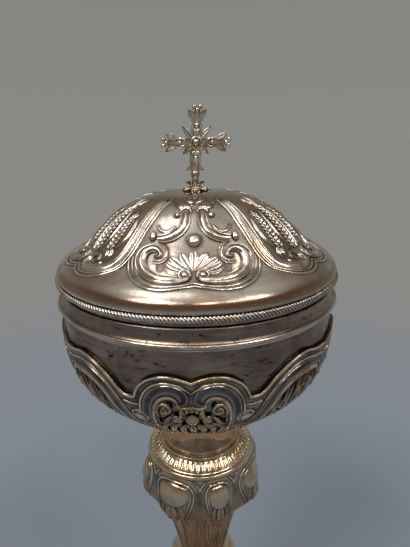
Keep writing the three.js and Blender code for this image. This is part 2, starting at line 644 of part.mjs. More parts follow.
const lidShell = () => {
  const bulge = LID_LIP_HEIGHT / 8;
  const place = ([out, up]) => [out * lidLipRadius, lidLipTop + up * LID_DOME_HEIGHT];
  const dome = curve([
    [lidLipRadius, lidLipTop],
    ...[...LID_OUTLINE, ...LID_SHOULDER].map(place),
    [LID_CROWN_RADIUS, lidTop],
  ], 10);
  const lip = [[lidLipRadius, lidBandTop], [lidLipRadius + bulge, (lidBandTop + lidLipTop) / 2]];
  const section = sheet([...lip, ...dome, [studHole, lidTop]], LID_WALL, "level", "plumb");
  const outerCount = section.length / 2;
  const ledge = lidBandTop + LID_WALL;
  const inside = section.slice(outerCount).filter(([, z]) => z > ledge);
  const bezelInside = bezelRadius - BEZEL_WALL;
  const ledgeCorner = [Math.min(inside.at(-1)[0], lidLipRadius - LID_WALL), ledge];
  const flange = [ledgeCorner, [bezelInside, ledge], [bezelInside, lidBandTop]];
  const shell = turned([...section.slice(0, outerCount), ...inside, ...flange], LARGE_ROUND);
  const cartouche =
    [whole(CARTOUCHE_EDGE), ...pair(CARTOUCHE_SCROLL), ...pair(CARTOUCHE_ARM), CARTOUCHE_BOSS];
  const wheat = [whole(WHEAT_EDGE), ...pair(WHEAT_SCROLL), ...pair(WHEAT_SIDE_EAR), WHEAT_EAR];
  return joined([shell, ...relief([...lip, ...dome], LID_WALL, LID_PANEL_TURN, cartouche, wheat)]);
};

add("lid_rim_band",
  band(bezelRadius + SOLDER_GAP, lidBandRadius, lidBandBottom, lidBandTop, LARGE_ROUND), SILVER);
add("lid_bezel",
  band(bezelRadius - BEZEL_WALL, bezelRadius, mouth - BEZEL_DEPTH, lidBandTop, LARGE_ROUND), SILVER);
add("lid_cord_wire",
  wire(lidBandRadius + SOLDER_GAP + LID_WIRE_RADIUS, lidBandTop - SOLDER_GAP - LID_WIRE_RADIUS,
    LID_WIRE_RADIUS, LARGE_ROUND), SILVER);
add("lid_shell", lidShell(), SILVER);

// Finial: a leafy calyx, a bead under a ball, and the cross with its stud.

const finialCalyx = () => {
  const up = (share) => lidTop + share * FINIAL_CALYX_HEIGHT;
  const out = (share) => studHole + share * (FINIAL_CALYX_RADIUS - studHole);
  return turned([
    [studHole, up(0)],
    [out(0.92), up(0)],
    [out(1), up(0.16)],
    [out(0.9), up(0.34)],
    [out(0.52), up(0.48)],
    [out(0.6), up(0.66)],
    [out(0.5), up(0.84)],
    [out(0.2), up(1)],
    [studHole, up(1)],
  ], SMALL_ROUND);
};

const finialBall = () => {
  const waist = ballCentre - FINIAL_BALL_RADIUS + FINIAL_BALL_OVERLAP / 2;
  const round = (centre, radius, low, high) =>
    arc(0, centre, radius, -90, 90, 8).filter(([r, z]) => r > studHole && z > low && z < high);
  const bottom = finialCalyxTop;
  return turned([
    [studHole, bottom],
    ...round(beadCentre, FINIAL_BEAD_RADIUS, bottom, waist),
    ...round(ballCentre, FINIAL_BALL_RADIUS, waist, ballTop),
    [studHole, ballTop],
  ], SMALL_ROUND);
};

// One quarter of the cross, round an arm of the given length that points along +Y: half of each
// pointed ray beside it, and the arm with its three-leaved end.
const crossQuarter = (length) => {
  const half = CROSS_ARM_WIDTH / 2;
  const spread = CROSS_END_WIDTH / 2;
  const ray = CROSS_RAY * Math.SQRT1_2;
  const root = CROSS_BOSS_RADIUS + half;
  const right = [
    [spread * 0.3, length - spread * 0.5],
    [spread, length - spread * 0.55],
    [half, length - spread * 1.9],
    [half, root],
  ];
  const left = right.map(([x, y]) => [-x, y]).reverse();
  return [...left, [0, length], ...right, [ray, ray]];
};

const cross = () => {
  const arms = [CROSS_UPPER_ARM, CROSS_SIDE_ARM, CROSS_LOWER_ARM, CROSS_SIDE_ARM];
  const outline = arms.flatMap((length, i) => {
    const centre = new THREE.Vector2();
    return crossQuarter(length - CROSS_BEVEL).map(([x, y]) =>
      new THREE.Vector2(x, y).rotateAround(centre, (-i * Math.PI) / 2));
  });
  const flat = CROSS_THICKNESS - 2 * CROSS_BEVEL;
  const plate = new THREE.ExtrudeGeometry(new THREE.Shape(outline), {
    depth: flat,
    bevelThickness: CROSS_BEVEL,
    bevelSize: CROSS_BEVEL,
    bevelSegments: 1,
  })
    .translate(0, 0, -flat / 2)
    .rotateX(Math.PI / 2)
    .translate(0, 0, crossCentre);
  const face = CROSS_THICKNESS / 2 + CROSS_BOSS_STANDOUT;
  const dome = arc(0, 0, 1, 90, -90, 8).map(([r, z]) => [r * CROSS_BOSS_RADIUS, z * face]);
  const boss = turned(dome, SMALL_ROUND).rotateX(Math.PI / 2).translate(0, 0, crossCentre);
  const studBottom = lidTop - LID_WALL - LID_WASHER_HEIGHT - LID_NUT_HEIGHT - STUD_TAIL;
  const stud = band(0, STUD_RADIUS, studBottom, ballTop + 2 * CROSS_BEVEL, SMALL_ROUND);
  return joined([plate, boss, stud]);
};

const lidWasherBottom = lidTop - LID_WALL - LID_WASHER_HEIGHT;

add("finial_calyx", finialCalyx(), GILT);
add("finial_ball", finialBall(), GILT);
add("finial_cross", cross(), GILT);
add("lid_washer",
  band(studHole, LID_WASHER_RADIUS, lidWasherBottom, lidTop - LID_WALL, SMALL_ROUND), STEEL);
add("lid_nut", nut(LID_NUT_RADIUS, studHole, lidWasherBottom - LID_NUT_HEIGHT, LID_NUT_HEIGHT), STEEL);

export default ciborium;
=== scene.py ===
"""The looks of a lidded silver ciborium: turned silver, chased scrolls and wheat on the lid, a
pierced false cup, a lobed gilt knop and a cross. Sizes are in millimetres and become metres
where a mesh is made. Angles start at the front, which faces -Y."""

import math

import bpy
import numpy as np
from mathutils import Matrix, Vector
from mathutils.kdtree import KDTree


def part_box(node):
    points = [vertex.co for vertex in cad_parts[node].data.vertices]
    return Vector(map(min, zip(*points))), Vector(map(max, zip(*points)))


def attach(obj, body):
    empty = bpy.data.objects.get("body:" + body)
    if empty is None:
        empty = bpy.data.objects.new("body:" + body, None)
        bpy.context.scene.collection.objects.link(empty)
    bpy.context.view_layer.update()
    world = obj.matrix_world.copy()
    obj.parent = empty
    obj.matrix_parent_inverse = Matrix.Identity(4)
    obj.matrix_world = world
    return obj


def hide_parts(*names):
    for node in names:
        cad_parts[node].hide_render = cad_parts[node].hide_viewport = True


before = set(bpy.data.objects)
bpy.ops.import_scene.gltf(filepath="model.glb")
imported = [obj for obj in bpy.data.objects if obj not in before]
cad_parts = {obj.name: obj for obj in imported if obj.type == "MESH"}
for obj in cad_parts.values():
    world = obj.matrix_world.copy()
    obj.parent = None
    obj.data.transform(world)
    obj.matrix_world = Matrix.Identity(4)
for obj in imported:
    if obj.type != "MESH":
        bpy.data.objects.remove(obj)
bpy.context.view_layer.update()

MM = 0.001

# Steps in a full turn, for large pieces down to the beads.
LARGE_ROUND, MIDDLE_ROUND, SMALL_ROUND, BEAD_ROUND = 480, 320, 160, 80

# How close points are, in metres, to be made one: in most pieces, along the seam of the false
# cup, and in finished ornament, whose strokes touch and stay apart.
MERGE, SEAM, KEPT_APART = 1e-6, 2e-5, 1e-8

# The radii of the bores for the tie rod, the cup's boss and the finial's stud.
ROD_BORE, BOSS_BORE, STUD_BORE = 3.3, 5.9, 1.1


# Heights and radii of the CAD pieces.

def low(node):
    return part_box(node)[0].z / MM


def high(node):
    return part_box(node)[1].z / MM


def reach(node):
    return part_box(node)[1].x / MM


def wire_radius(node):
    """The radius of a round wire that reaches the corners of the six-sided CAD one."""
    return (high(node) - low(node)) / 2 / math.cos(math.pi / 6)


MOUTH = high("cup_bowl")
CUP_RADIUS = reach("cup_bowl")
BEAD_LEVEL = (low("cup_bead_wire") + high("cup_bead_wire")) / 2


# Lines, turned pieces and walls.

def smooth(points, spacing=0.5):
    """A rounded line through the points, with a point about every spacing."""
    p = np.array(points, float)
    ends = np.vstack([2 * p[0] - p[1], p, 2 * p[-1] - p[-2]])
    line = []
    for a, b, c, d in zip(ends, ends[1:], ends[2:], ends[3:]):
        count = max(2, round(float(np.linalg.norm(c - b)) / spacing))
        for t in np.arange(count) / count:
            bend = (2 * a - 5 * b + 4 * c - d) * t ** 2 + (3 * b - a - 3 * c + d) * t ** 3
            line.append((2 * b + (c - a) * t + bend) / 2)
    line.append(p[-1])
    return [(float(r), float(z)) for r, z in line]


def thinned(line):
    """Every sixth point of a line and its last one, for an inner wall, which needs fewer."""
    return line[:-1:6] + line[-1:]


def arc(r, z, radius, start, end, steps=8):
    """Points of an arc in the plane of a section, with angles in degrees."""
    turns = np.radians(np.linspace(start, end, steps + 1))
    return [(r + radius * math.cos(t), z + radius * math.sin(t)) for t in turns]


def slopes(line):
    """The way out of a line at each of its points."""
    p = np.array(line, float)
    run = np.gradient(p, axis=0)
    run /= np.maximum(np.linalg.norm(run, axis=1), 1e-9)[:, None]
    side = 1 if p[-1, 1] > p[0, 1] else -1
    return p, np.column_stack([run[:, 1], -run[:, 0]]) * side


def offset(line, distance):
    """The line moved out by a distance, or in by a negative one. The distance may be an array."""
    p, out = slopes(line)
    moved = p + out * distance
    return [(max(float(r), 0.0), float(z)) for r, z in moved]


def only(piece):
    bpy.ops.object.select_all(action="DESELECT")
    piece.select_set(True)
    bpy.context.view_layer.objects.active = piece


def mend(piece, threshold=MERGE):
    """Closes the seams of a mesh and turns its faces out."""
    only(piece)
    bpy.ops.object.mode_set(mode="EDIT")
    bpy.ops.mesh.select_all(action="SELECT")
    bpy.ops.mesh.remove_doubles(threshold=threshold)
    bpy.ops.mesh.normals_make_consistent(inside=False)
    bpy.ops.object.mode_set(mode="OBJECT")


def rounded(piece, angle=42):
    only(piece)
    bpy.ops.object.shade_smooth_by_angle(angle=math.radians(angle))
    return piece


def drawn(name, places, closed):
    """A curve that runs straight from place to place."""
    bpy.ops.object.select_all(action="DESELECT")
    bpy.ops.curve.primitive_nurbs_path_add()
    piece = bpy.context.object
    piece.name = name
    piece.data.splines.clear()
    spline = piece.data.splines.new("POLY")
    spline.points.add(len(places) - 1)
    for point, place in zip(spline.points, places):
        point.co = (*place, 1)
    spline.use_cyclic_u = closed
    return piece


def turned(name, section, steps=LARGE_ROUND, angle=42):
    """A section of (radius, height) points turned round the axis. One with both ends on the axis
    is open there, and any other is a closed loop."""
    on_axis = section[0][0] == 0 and section[-1][0] == 0
    drawn(name, [(r * MM, 0, z * MM) for r, z in section], not on_axis)
    bpy.ops.object.convert(target="MESH")
    piece = bpy.context.object
    screw = piece.modifiers.new("turning", "SCREW")
    screw.steps = steps
    screw.render_steps = steps
    screw.use_merge_vertices = True
    screw.merge_threshold = MERGE
    bpy.ops.object.modifier_apply(modifier=screw.name)
    mend(piece)
    return rounded(piece, angle)


def read(piece):
    points = np.zeros(len(piece.data.vertices) * 3)
    piece.data.vertices.foreach_get("co", points)
    return points.reshape(-1, 3) / MM


def write(piece, points):
    piece.data.vertices.foreach_set("co", (np.asarray(points) * MM).ravel())
    piece.data.update()


def paint(piece, name, values):
    data = piece.data
    layer = data.attributes.get(name) or data.attributes.new(name, "FLOAT", "POINT")
    layer.data.foreach_set("value", np.asarray(values, float))


def joined(name, pieces):
    bpy.ops.object.select_all(action="DESELECT")
    for piece in pieces:
        piece.select_set(True)
    bpy.context.view_layer.objects.active = pieces[0]
    if len(pieces) > 1:
        bpy.ops.object.join()
    whole = bpy.context.object
    whole.name = name
    return whole


def copied(piece):
    only(piece)
    bpy.ops.object.duplicate()
    return bpy.context.object


def removed(piece):
    only(piece)
    bpy.ops.object.delete()


# Ornament is drawn flat, across and along a face, and then laid on it.

def face_of(line):
    """A face that ornament is laid on: length along the line, radius, height and the way out."""
    p, out = slopes(line)
    length = np.r_[0, np.cumsum(np.hypot(*np.diff(p, axis=0).T))]
    return length, p[:, 0], p[:, 1], out[:, 0], out[:, 1]


def lay(piece, face, turn):
    across, along, rise = read(piece).T
    length, radius, level, out, up = face
    r = np.interp(along, length, radius)
    angle = math.radians(turn) + across / r
    far = r + rise * np.interp(along, length, out)
    height = np.interp(along, length, level) + rise * np.interp(along, length, up)
    write(piece, np.column_stack([far * np.sin(angle), -far * np.cos(angle), height]))
    return piece


def section_curve(name, points):
    """The section of a stroke. Its width and height are in shares of the stroke's half width."""
    piece = drawn(name, [(x, y, 0) for x, y in points], True)
    piece.data.dimensions = "2D"
    return piece


def both_sides(half):
    """A section that is listed from its left edge to the middle, with its right side."""
    return half + [(-x, y) for x, y in reversed(half) if x < 0]


BAND = section_curve("section_band", both_sides(
    [(-1, -0.2), (-1, 0.2), (-0.92, 0.34), (-0.8, 0.36), (-0.7, 0.26), (-0.6, 0.22),
     (-0.4, 0.36), (-0.2, 0.44), (0, 0.47)]))
ROUND = section_curve("section_round", both_sides(
    [(-1, -0.3), (-0.94, 0.25), (-0.7, 0.62), (-0.35, 0.84), (0, 0.92)]))
SWELLING = section_curve("section_swelling", both_sides(
    [(-1, -0.2), (-1, 0.24), (-0.92, 0.36), (-0.82, 0.34), (-0.75, 0.2), (-0.66, 0.22),
     (-0.45, 0.46), (-0.2, 0.6), (0, 0.64)]))
LEAF = section_curve("section_leaf", both_sides(
    [(-1, -0.2), (-0.96, 0.2), (-0.7, 0.46), (-0.4, 0.5), (-0.15, 0.34), (0, 0.2)]))
PAIR = section_curve("section_pair", both_sides(
    [(-1, -0.25), (-0.95, 0.35), (-0.72, 0.6), (-0.45, 0.56), (-0.2, 0.26), (0, 0.16)]))
HOLLOW = section_curve("section_hollow", both_sides(
    [(-1, -0.2), (-0.97, 0.24), (-0.86, 0.34), (-0.74, 0.3), (-0.62, 0.14), (-0.3, 0.08), (0, 0.06)]))


def shade_heights(piece):
    """Marks the rubbed crests of a stroke, and its feet with dirt and painted shade."""
    rise = read(piece)[:, 2]
    share = np.clip(rise / max(rise.max(), 1e-6), 0, 1)
    paint(piece, "crest", np.clip((share - 0.45) / 0.5, 0, 1))
    # Below half its height it darkens towards the foot: dirt and painted shade where the stroke meets
    # its face.
    paint(piece, "grime_and_shade", np.clip(1 - share / 0.5, 0, 1))


def stroke(path, section=BAND, steps=6):
    """One chased stroke. Its path lists (across, along, half its width)."""
    bpy.ops.object.select_all(action="DESELECT")
    bpy.ops.curve.primitive_bezier_curve_add()
    piece = bpy.context.object
    line = piece.data
    line.dimensions = "2D"
    line.fill_mode = "NONE"
    line.resolution_u = steps
    points = line.splines[0].bezier_points
    points.add(len(path) - 2)
    for point, (across, along, half) in zip(points, path):
        point.co = (across * MM, along * MM, 0)
        point.radius = half * MM
        point.handle_left_type = "AUTO"
        point.handle_right_type = "AUTO"
    line.bevel_mode = "OBJECT"
    line.bevel_object = section
    line.use_fill_caps = True
    bpy.ops.object.convert(target="MESH")
    piece = bpy.context.object
    shade_heights(piece)
    return piece


def dome(across, along, wide, long, tall, turn=0, segments=20):
    """A raised boss, flattened under the face that it sits on."""
    bpy.ops.object.select_all(action="DESELECT")
    bpy.ops.mesh.primitive_uv_sphere_add(
        segments=segments, ring_count=segments // 2, radius=1,
        location=(across * MM, along * MM, 0), rotation=(0, 0, math.radians(turn)),
        scale=(wide * MM, long * MM, tall * MM))
    bpy.ops.object.transform_apply(location=True, rotation=True, scale=True)
    piece = bpy.context.object
    points = read(piece)
    points[:, 2] = np.maximum(points[:, 2], -0.35)
    write(piece, points)
    shade_heights(piece)
    return piece


def mirrored(path):
    return [(-across, along, half) for across, along, half in path]


def pair(path, section=BAND, steps=6):
    """A stroke and its mirror image."""
    return [stroke(path, section, steps), stroke(mirrored(path), section, steps)]


def dome_pair(across, along, wide, long, tall, turn=0, segments=20):
    return [dome(across, along, wide, long, tall, turn, segments),
            dome(-across, along, wide, long, tall, -turn, segments)]


def ring(across, along, radius, half, start=0, end=360, section=ROUND):
    count = max(6, round((end - start) / 30))
    turns = np.radians(np.linspace(start, end, count + 1))
    return stroke([(across + radius * math.sin(t), along + radius * math.cos(t), half) for t in turns],
                  section, 4)


def raised(pieces, height, squash=1.0):
    """Squashes the upper side of pieces by a share, and lifts it by a height."""
    for piece in pieces:
        points = read(piece)
        upper = points[:, 2] > 0
        points[upper, 2] = points[upper, 2] * squash + height
        write(piece, points)
    return pieces


def shifted(face, by):
    """The same face, with the ornament on it moved back along it by a length."""
    return (face[0] + by, *face[1:])


def laid(name, drawing, face, turns, angle=50):
    """Copies of a flat drawing, laid on a face at each turn, as one piece."""
    mend(drawing)
    copies = [lay(copied(drawing), face, turn) for turn in turns]
    removed(drawing)
    whole = joined(name, copies)
    mend(whole, KEPT_APART)
    return rounded(whole, angle)


def soil_and_shade(base, ornaments, spread=0.8, hollow_shade=0):
    """Paints dirt and painted shade on a face beside the ornament on it, as far as its spread, and
    painted shade as deep as hollow_shade says.
    """
    cloud = np.vstack([read(piece)[::2] for piece in ornaments])
    tree = KDTree(len(cloud))
    for i, point in enumerate(cloud):
        tree.insert(point, i)
    tree.balance()
    gaps = np.array([tree.find(point)[2] for point in read(base)])
    paint(base, "grime_and_shade", np.clip(np.maximum(1.15 - gaps / spread, hollow_shade), 0, 1))


def thirds(start):
    """Three turns round the axis, a third of a circle apart."""
    return start, start + 120, start + 240


# Lid.

LID_BAND_TOP = high("lid_rim_band")
LID_TOP = high("lid_shell")
LIP_ROLL = 0.26
LIP_RADIUS = reach("lid_shell") - LIP_ROLL
LID_TURN = -1


def lid_line():
    """The outside of the lid, from the lip up to the crown, as measured from the lip."""
    rise = [(0, 0.0), (LIP_ROLL, 1.05), (0, 2.1), (-1.1, 3.9), (-3.6, 5.85), (-7.3, 7.6), (-11.4, 9.45),
            (-14.2, 11.95), (-20.13, 18), (-26.34, 23.7), (-31.7, 27.2), (-37.6, 29.6),
            (-43.5, 30.9), (-51.2, 31.5)]
    under = (LIP_RADIUS - 0.95, LID_BAND_TOP)
    return smooth([under] + [(LIP_RADIUS + r, LID_BAND_TOP + z) for r, z in rise])


def dulled(pieces):
    """Marks low work, which is rubbed far less than the fillets round it."""
    for piece in pieces:
        layer = piece.data.attributes["crest"].data
        values = np.zeros(len(layer))
        layer.foreach_get("value", values)
        paint(piece, "crest", values * 0.3)
    return pieces


def painted_shade_patches(pieces):
    """Paints flat pieces wholly dark: painted shade for the deep pockets between the scrolls."""
    for piece in pieces:
        paint(piece, "grime_and_shade", np.full(len(piece.data.vertices), 1.3))
        paint(piece, "crest", np.zeros(len(piece.data.vertices)))
    return pieces


def cartouche_panel():
    """The scrolled cartouche with its fan of acanthus, as on the lid and on the foot."""
    big_scroll = [(3.9, 16.6, 0.45), (3.6, 17.7, 0.6), (2.6, 18.0, 0.8), (1.8, 16.9, 0.95),
                  (2.2, 15.5, 1.15), (4.1, 14.6, 1.5), (7.6, 14.3, 2.0), (11.6, 14.5, 2.3),
                  (15.1, 15.8, 2.4), (17.6, 18.2, 2.4), (18.7, 21.2, 2.3), (18.2, 23.9, 2.1),
                  (16.4, 26.0, 1.7), (14.1, 26.8, 1.5), (12.2, 26.0, 1.2), (11.7, 24.6, 1.0),
                  (12.6, 23.6, 0.75), (13.9, 23.8, 0.5)]
    outer_fillet = [(0, 11.6, 0.5), (4.7, 10.6, 0.5), (8.7, 9.7, 0.5), (12.7, 9.5, 0.5),
                    (16.7, 10.2, 0.5), (20.2, 12.2, 0.5), (22.7, 15.2, 0.5), (23.8, 18.6, 0.5),
                    (23.9, 21.6, 0.3)]
    second_fillet = [(0, 13.2, 0.3), (4.0, 11.9, 0.4), (8.4, 11.2, 0.4), (12.4, 11.1, 0.4),
                     (16.2, 12.0, 0.4), (19.4, 14.0, 0.4), (21.4, 16.8, 0.4), (22.4, 20.0, 0.4),
                     (22.4, 23.0, 0.3)]
    hook = [(11.6, 29.2, 0.4), (9.7, 27.7, 0.75), (9.1, 25.2, 0.8), (9.9, 22.9, 0.8),
            (12.2, 21.6, 0.75), (14.4, 21.7, 0.5)]
    arch = [(2.7, 44.0, 0.7), (2.9, 41.8, 1.5), (3.1, 38.6, 1.85), (4.2, 35.4, 1.9),
            (6.6, 32.8, 1.9), (9.7, 31.2, 1.8), (12.8, 30.7, 1.5)]
    tendril = [(6.7, 36.6, 0.3), (8.6, 34.4, 0.5), (10.6, 33.8, 0.5), (12.6, 34.9, 0.5),
               (13.3, 36.6, 0.3)]
    cap = [(1.1, 43.4, 0.35), (1.5, 45.2, 0.6), (3.0, 46.0, 0.7), (4.6, 45.1, 0.6), (4.8, 43.6, 0.35)]
    wing = [(1.4, 46.6, 0.4), (3.0, 47.0, 0.7), (4.8, 46.4, 0.7), (6.2, 47.0, 0.6), (6.8, 48.6, 0.2)]
    bud = [(0.3, 45.2, 0.4), (0.7, 47.4, 0.7), (1.5, 49.2, 0.6), (1.7, 50.8, 0.2)]
    spray = [(0.6, 50.2, 0.4), (2.4, 51.2, 0.6), (3.6, 53.2, 0.5), (3.9, 55.2, 0.2)]
    fan = [
        [(0.6, 18.9, 0.6), (2.1, 21.2, 1.3), (3.3, 23.2, 1.7), (4.1, 24.6, 1.3), (4.5, 25.4, 0.4)],
        [(1.2, 18.8, 0.6), (4.1, 20.5, 1.2), (6.2, 22.2, 1.6), (7.6, 23.2, 1.2), (8.2, 23.8, 0.4)],
        [(2.0, 18.7, 0.6), (5.2, 19.4, 1.1), (7.6, 20.5, 1.4), (9.0, 21.4, 1.0), (9.6, 21.9, 0.4)],
        [(4.8, 18.2, 0.4), (6.8, 17.9, 0.8), (8.6, 18.5, 0.7), (9.8, 19.6, 0.2)],
    ]
    pieces = pair(big_scroll, SWELLING) + pair(outer_fillet, ROUND) + pair(second_fillet, ROUND)
    for hand in (-1, 1):
        pieces += [ring(hand * 3.1, 17.1, 1.9, 0.5), dome(hand * 3.1, 17.1, 1.3, 1.3, 1.0)]
    pieces += pair(hook, PAIR) + pair(arch, SWELLING) + pair(tendril, ROUND) + pair(cap, ROUND)
    pieces += pair(wing, LEAF) + pair(bud, LEAF) + pair(spray, LEAF)
    for leaf in fan:
        pieces += dulled(raised(pair(leaf, LEAF), 0, 0.5))
    # Flat dark patches: painted shade in the pockets beside the fan and round the middle boss.
    pieces += painted_shade_patches(dome_pair(11.4, 20.0, 1.5, 1.9, 0.12, 20) + [dome(0, 30.3, 3.4, 3.4, 0.12)])
    middle = [(0, 18.6, 0.7), (0, 21.0, 1.4), (0, 23.6, 2.0), (0, 25.4, 1.6), (0, 26.6, 0.4)]
    pieces += dulled(raised([stroke(middle, LEAF)], 0, 0.6))
    pieces += dome_pair(14.9, 31.7, 1.45, 2.2, 1.3, 12)
    pieces += dome_pair(6.2, 41.8, 1.1, 1.2, 1.0)
    pieces.append(dome(0, 30.3, 2.5, 2.5, 1.6, segments=28))
    return joined("cartouche", pieces)


def wheat_ear(start, end, half, kernels, size):
    """An ear of wheat: two rows of kernels that lean out from a straight stalk."""
    start, end = np.array(start, float), np.array(end, float)
    along = (end - start) / np.linalg.norm(end - start)
    side = np.array([along[1], -along[0]])
    lean = math.degrees(math.atan2(-along[0], along[1]))
    pieces = []
    for i in range(kernels):
        share = i / (kernels - 1)
        middle = start + (end - start) * share
        width = half * (0.75 + 0.5 * math.sin(math.pi * min(share + 0.2, 1)))
        for hand in (-1, 1):
            place = middle + side * hand * width * 0.5
            pieces.append(dome(place[0], place[1], size * 0.4, size, 0.7, lean - hand * 34, 12))
        pieces.append(dome(*(middle + along * size * 0.7), size * 0.34, size * 0.85, 0.95, lean, 12))
    return pieces


def awns(root, tips):
    return [stroke([(*root, 0.35), (*((np.array(root) + tip) / 2), 0.4), (*tip, 0.12)], ROUND, 3)
            for tip in np.array(tips, float)]


def wheat_panel():
    """The panel between two cartouches: long side scrolls round three ears of wheat."""
    long_scroll = [(9.5, 52.5, 0.5), (11.2, 49, 1.1), (13.2, 44, 1.3), (15.2, 38.5, 1.4),
                   (16.9, 32.5, 1.5), (18.1, 27, 1.6), (18.7, 22.5, 1.8), (18.1, 18.6, 2.0),
                   (16, 15.7, 2.1), (12.5, 14, 2.1), (8.5, 13.5, 2.0), (5, 14.4, 1.8),
                   (3.0, 16.4, 1.5), (3.2, 18.9, 1.25), (5.2, 20.4, 1.0), (7.4, 19.9, 0.8),
                   (8.1, 18.3, 0.65), (7.1, 17.3, 0.45)]
    frame_out = [(10.8, 54, 0.3), (13.4, 50, 0.5), (16, 44, 0.55), (18.5, 38, 0.55),
                 (20.2, 32, 0.55), (21.6, 27, 0.55), (22.4, 22.5, 0.55), (22, 18, 0.55),
                 (20.2, 14, 0.55), (17, 11.2, 0.55), (12.5, 9.6, 0.5), (7, 9.4, 0.5),
                 (2.5, 10.6, 0.5), (0, 11.9, 0.5)]
    frame_in = [(12.2, 50, 0.3), (14.7, 44, 0.42), (17.1, 38, 0.42), (18.9, 32, 0.42),
                (20.3, 27, 0.42), (21, 22.5, 0.42), (20.6, 18.2, 0.42), (18.9, 15, 0.42),
                (16, 12.7, 0.42), (12, 11.3, 0.42), (7, 11.0, 0.42), (2.6, 12.2, 0.42), (0, 13.4, 0.4)]
    leaf = [(12.6, 19.4, 0.4), (12.8, 21.4, 0.9), (11.8, 23.2, 0.9), (10.4, 24.2, 0.3)]
    sprig = [(10.4, 19.6, 0.4), (10.6, 21.2, 0.8), (9.6, 22.6, 0.8), (8.2, 23.0, 0.3)]
    side_blade = [(12.8, 24.6, 0.4), (14.0, 29, 0.8), (13.0, 34, 0.8), (11.4, 38, 0.3)]
    inner_blade = [(3.6, 22.4, 0.4), (4.8, 28, 0.7), (4.4, 35, 0.7), (3.0, 41, 0.3)]
    top_leaf = [(0.4, 44, 0.4), (1.6, 46.2, 0.8), (2.0, 48.6, 0.7), (1.6, 51, 0.2)]
    pieces = pair(long_scroll) + pair(frame_out, ROUND) + pair(frame_in, ROUND)
    pieces += pair(leaf, LEAF) + pair(sprig, LEAF) + pair(side_blade, LEAF) + pair(inner_blade, LEAF)
    pieces += pair(top_leaf, LEAF) + dome_pair(11.4, 17.2, 1.0, 1.0, 0.8)
    pieces += wheat_ear((0, 22), (0, 41), 3.0, 11, 1.5)
    pieces += awns((0, 42), [(-1.6, 46.4), (0, 47.5), (1.6, 46.4)])
    for hand in (-1, 1):
        pieces += wheat_ear((hand * 9.4, 24.5), (hand * 7.9, 36.5), 2.4, 8, 1.35)
        pieces += awns((hand * 7.8, 37.5), [(hand * 9.6, 40.6), (hand * 7.4, 42), (hand * 5.6, 41)])
    return joined("wheat", pieces)


def lid_shell():
    """The domed sheet, with a wall inside it that keeps the node's thickness."""
    outside = lid_line()
    wall = 0.9
    crown = (STUD_BORE, outside[-1][1])
    inner = offset(outside + [crown], -wall)
    ledge = low("lid_shell") + wall
    bezel = reach("lid_bezel") - 0.8
    inside = thinned([point for point in inner if point[1] > ledge])
    section = outside + [crown, (STUD_BORE, crown[1] - wall)] + inside[::-1][1:]
    section += [(inside[0][0], ledge), (bezel, ledge), (bezel, LID_BAND_TOP)]
    return turned("lid_shell_raised", section)


def cord_wire(name, radius, level, half, strands):
    """A twisted wire: a ring whose surface is cut by slanting grooves."""
    steps_of_strand = 6
    twist = 2
    piece = turned(name, arc(radius, level, half, 0, 360, 16)[:-1], strands * steps_of_strand, 80)
    points = read(piece)
    angle = np.arctan2(points[:, 0], -points[:, 1])
    far = np.hypot(points[:, 0], points[:, 1])
    out, up = far - radius, points[:, 2] - level
    roll = np.arctan2(up, out)
    groove = np.abs(np.cos(angle * strands / 2 + roll * twist))
    depth = 1 - 0.5 * (1 - groove) ** 1.3
    far = radius + out * depth
    write(piece, np.column_stack([far * np.sin(angle), -far * np.cos(angle), level + up * depth]))
    # Rubbed tops on the strands, and dirt and painted shade in the grooves between them.
    paint(piece, "crest", np.clip(groove * 2.4 - 1.5, 0, 1))
    paint(piece, "grime_and_shade", np.clip(1.4 - groove * 1.7, 0, 1.2))
    return rounded(piece, 80)


def build_lid():
    face = face_of(lid_line())
    shell = lid_shell()
    cartouches = laid("lid_cartouches", cartouche_panel(), face, thirds(LID_TURN))
    wheat = laid("lid_wheat_panels", wheat_panel(), face, thirds(LID_TURN + 60))
    soil_and_shade(shell, [cartouches, wheat], 0.75)
    # The shell's tint: a reddish-brown band just above the lip is a painted reflection, and the dome
    # above a third of its height takes a little of the same colour.
    share = (read(shell)[:, 2] - LID_BAND_TOP) / (LID_TOP - LID_BAND_TOP)
    reflection_band = np.clip((share - 0.03) / 0.02, 0, 1) * np.clip((0.15 - share) / 0.04, 0, 1)
    dome_part = 0.15 * np.clip((share - 0.3) / 0.15, 0, 1)
    paint(shell, "tint", np.maximum(reflection_band, dome_part))
    band_bottom, band_radius = low("lid_rim_band"), reach("lid_rim_band")
    bezel_bottom, bezel = low("lid_bezel"), reach("lid_bezel")
    clear = bezel + 0.15
    band = turned("lid_rim_band_turned", [
        (clear, band_bottom), (band_radius - 0.35, band_bottom), (band_radius, band_bottom + 0.3),
        (band_radius, band_bottom + 1.4), (band_radius - 0.3, band_bottom + 1.6),
        (band_radius - 0.3, band_bottom + 2.0), (band_radius, band_bottom + 2.2),
        (band_radius, LID_BAND_TOP), (clear, LID_BAND_TOP)])
    sleeve = turned("lid_bezel_turned", [
        (bezel - 0.8, bezel_bottom + 0.2), (bezel - 0.6, bezel_bottom), (bezel - 0.3, bezel_bottom),
        (bezel, bezel_bottom + 0.6), (bezel, LID_BAND_TOP), (bezel - 0.8, LID_BAND_TOP)])
    half = 1.3
    wire_level = (low("lid_cord_wire") + high("lid_cord_wire")) / 2 - 0.4
    wire = cord_wire("lid_cord_twisted", reach("lid_cord_wire") + 0.2 - half, wire_level, half, 280)
    return shell, cartouches, wheat, band, sleeve, wire


# Cup and false cup.

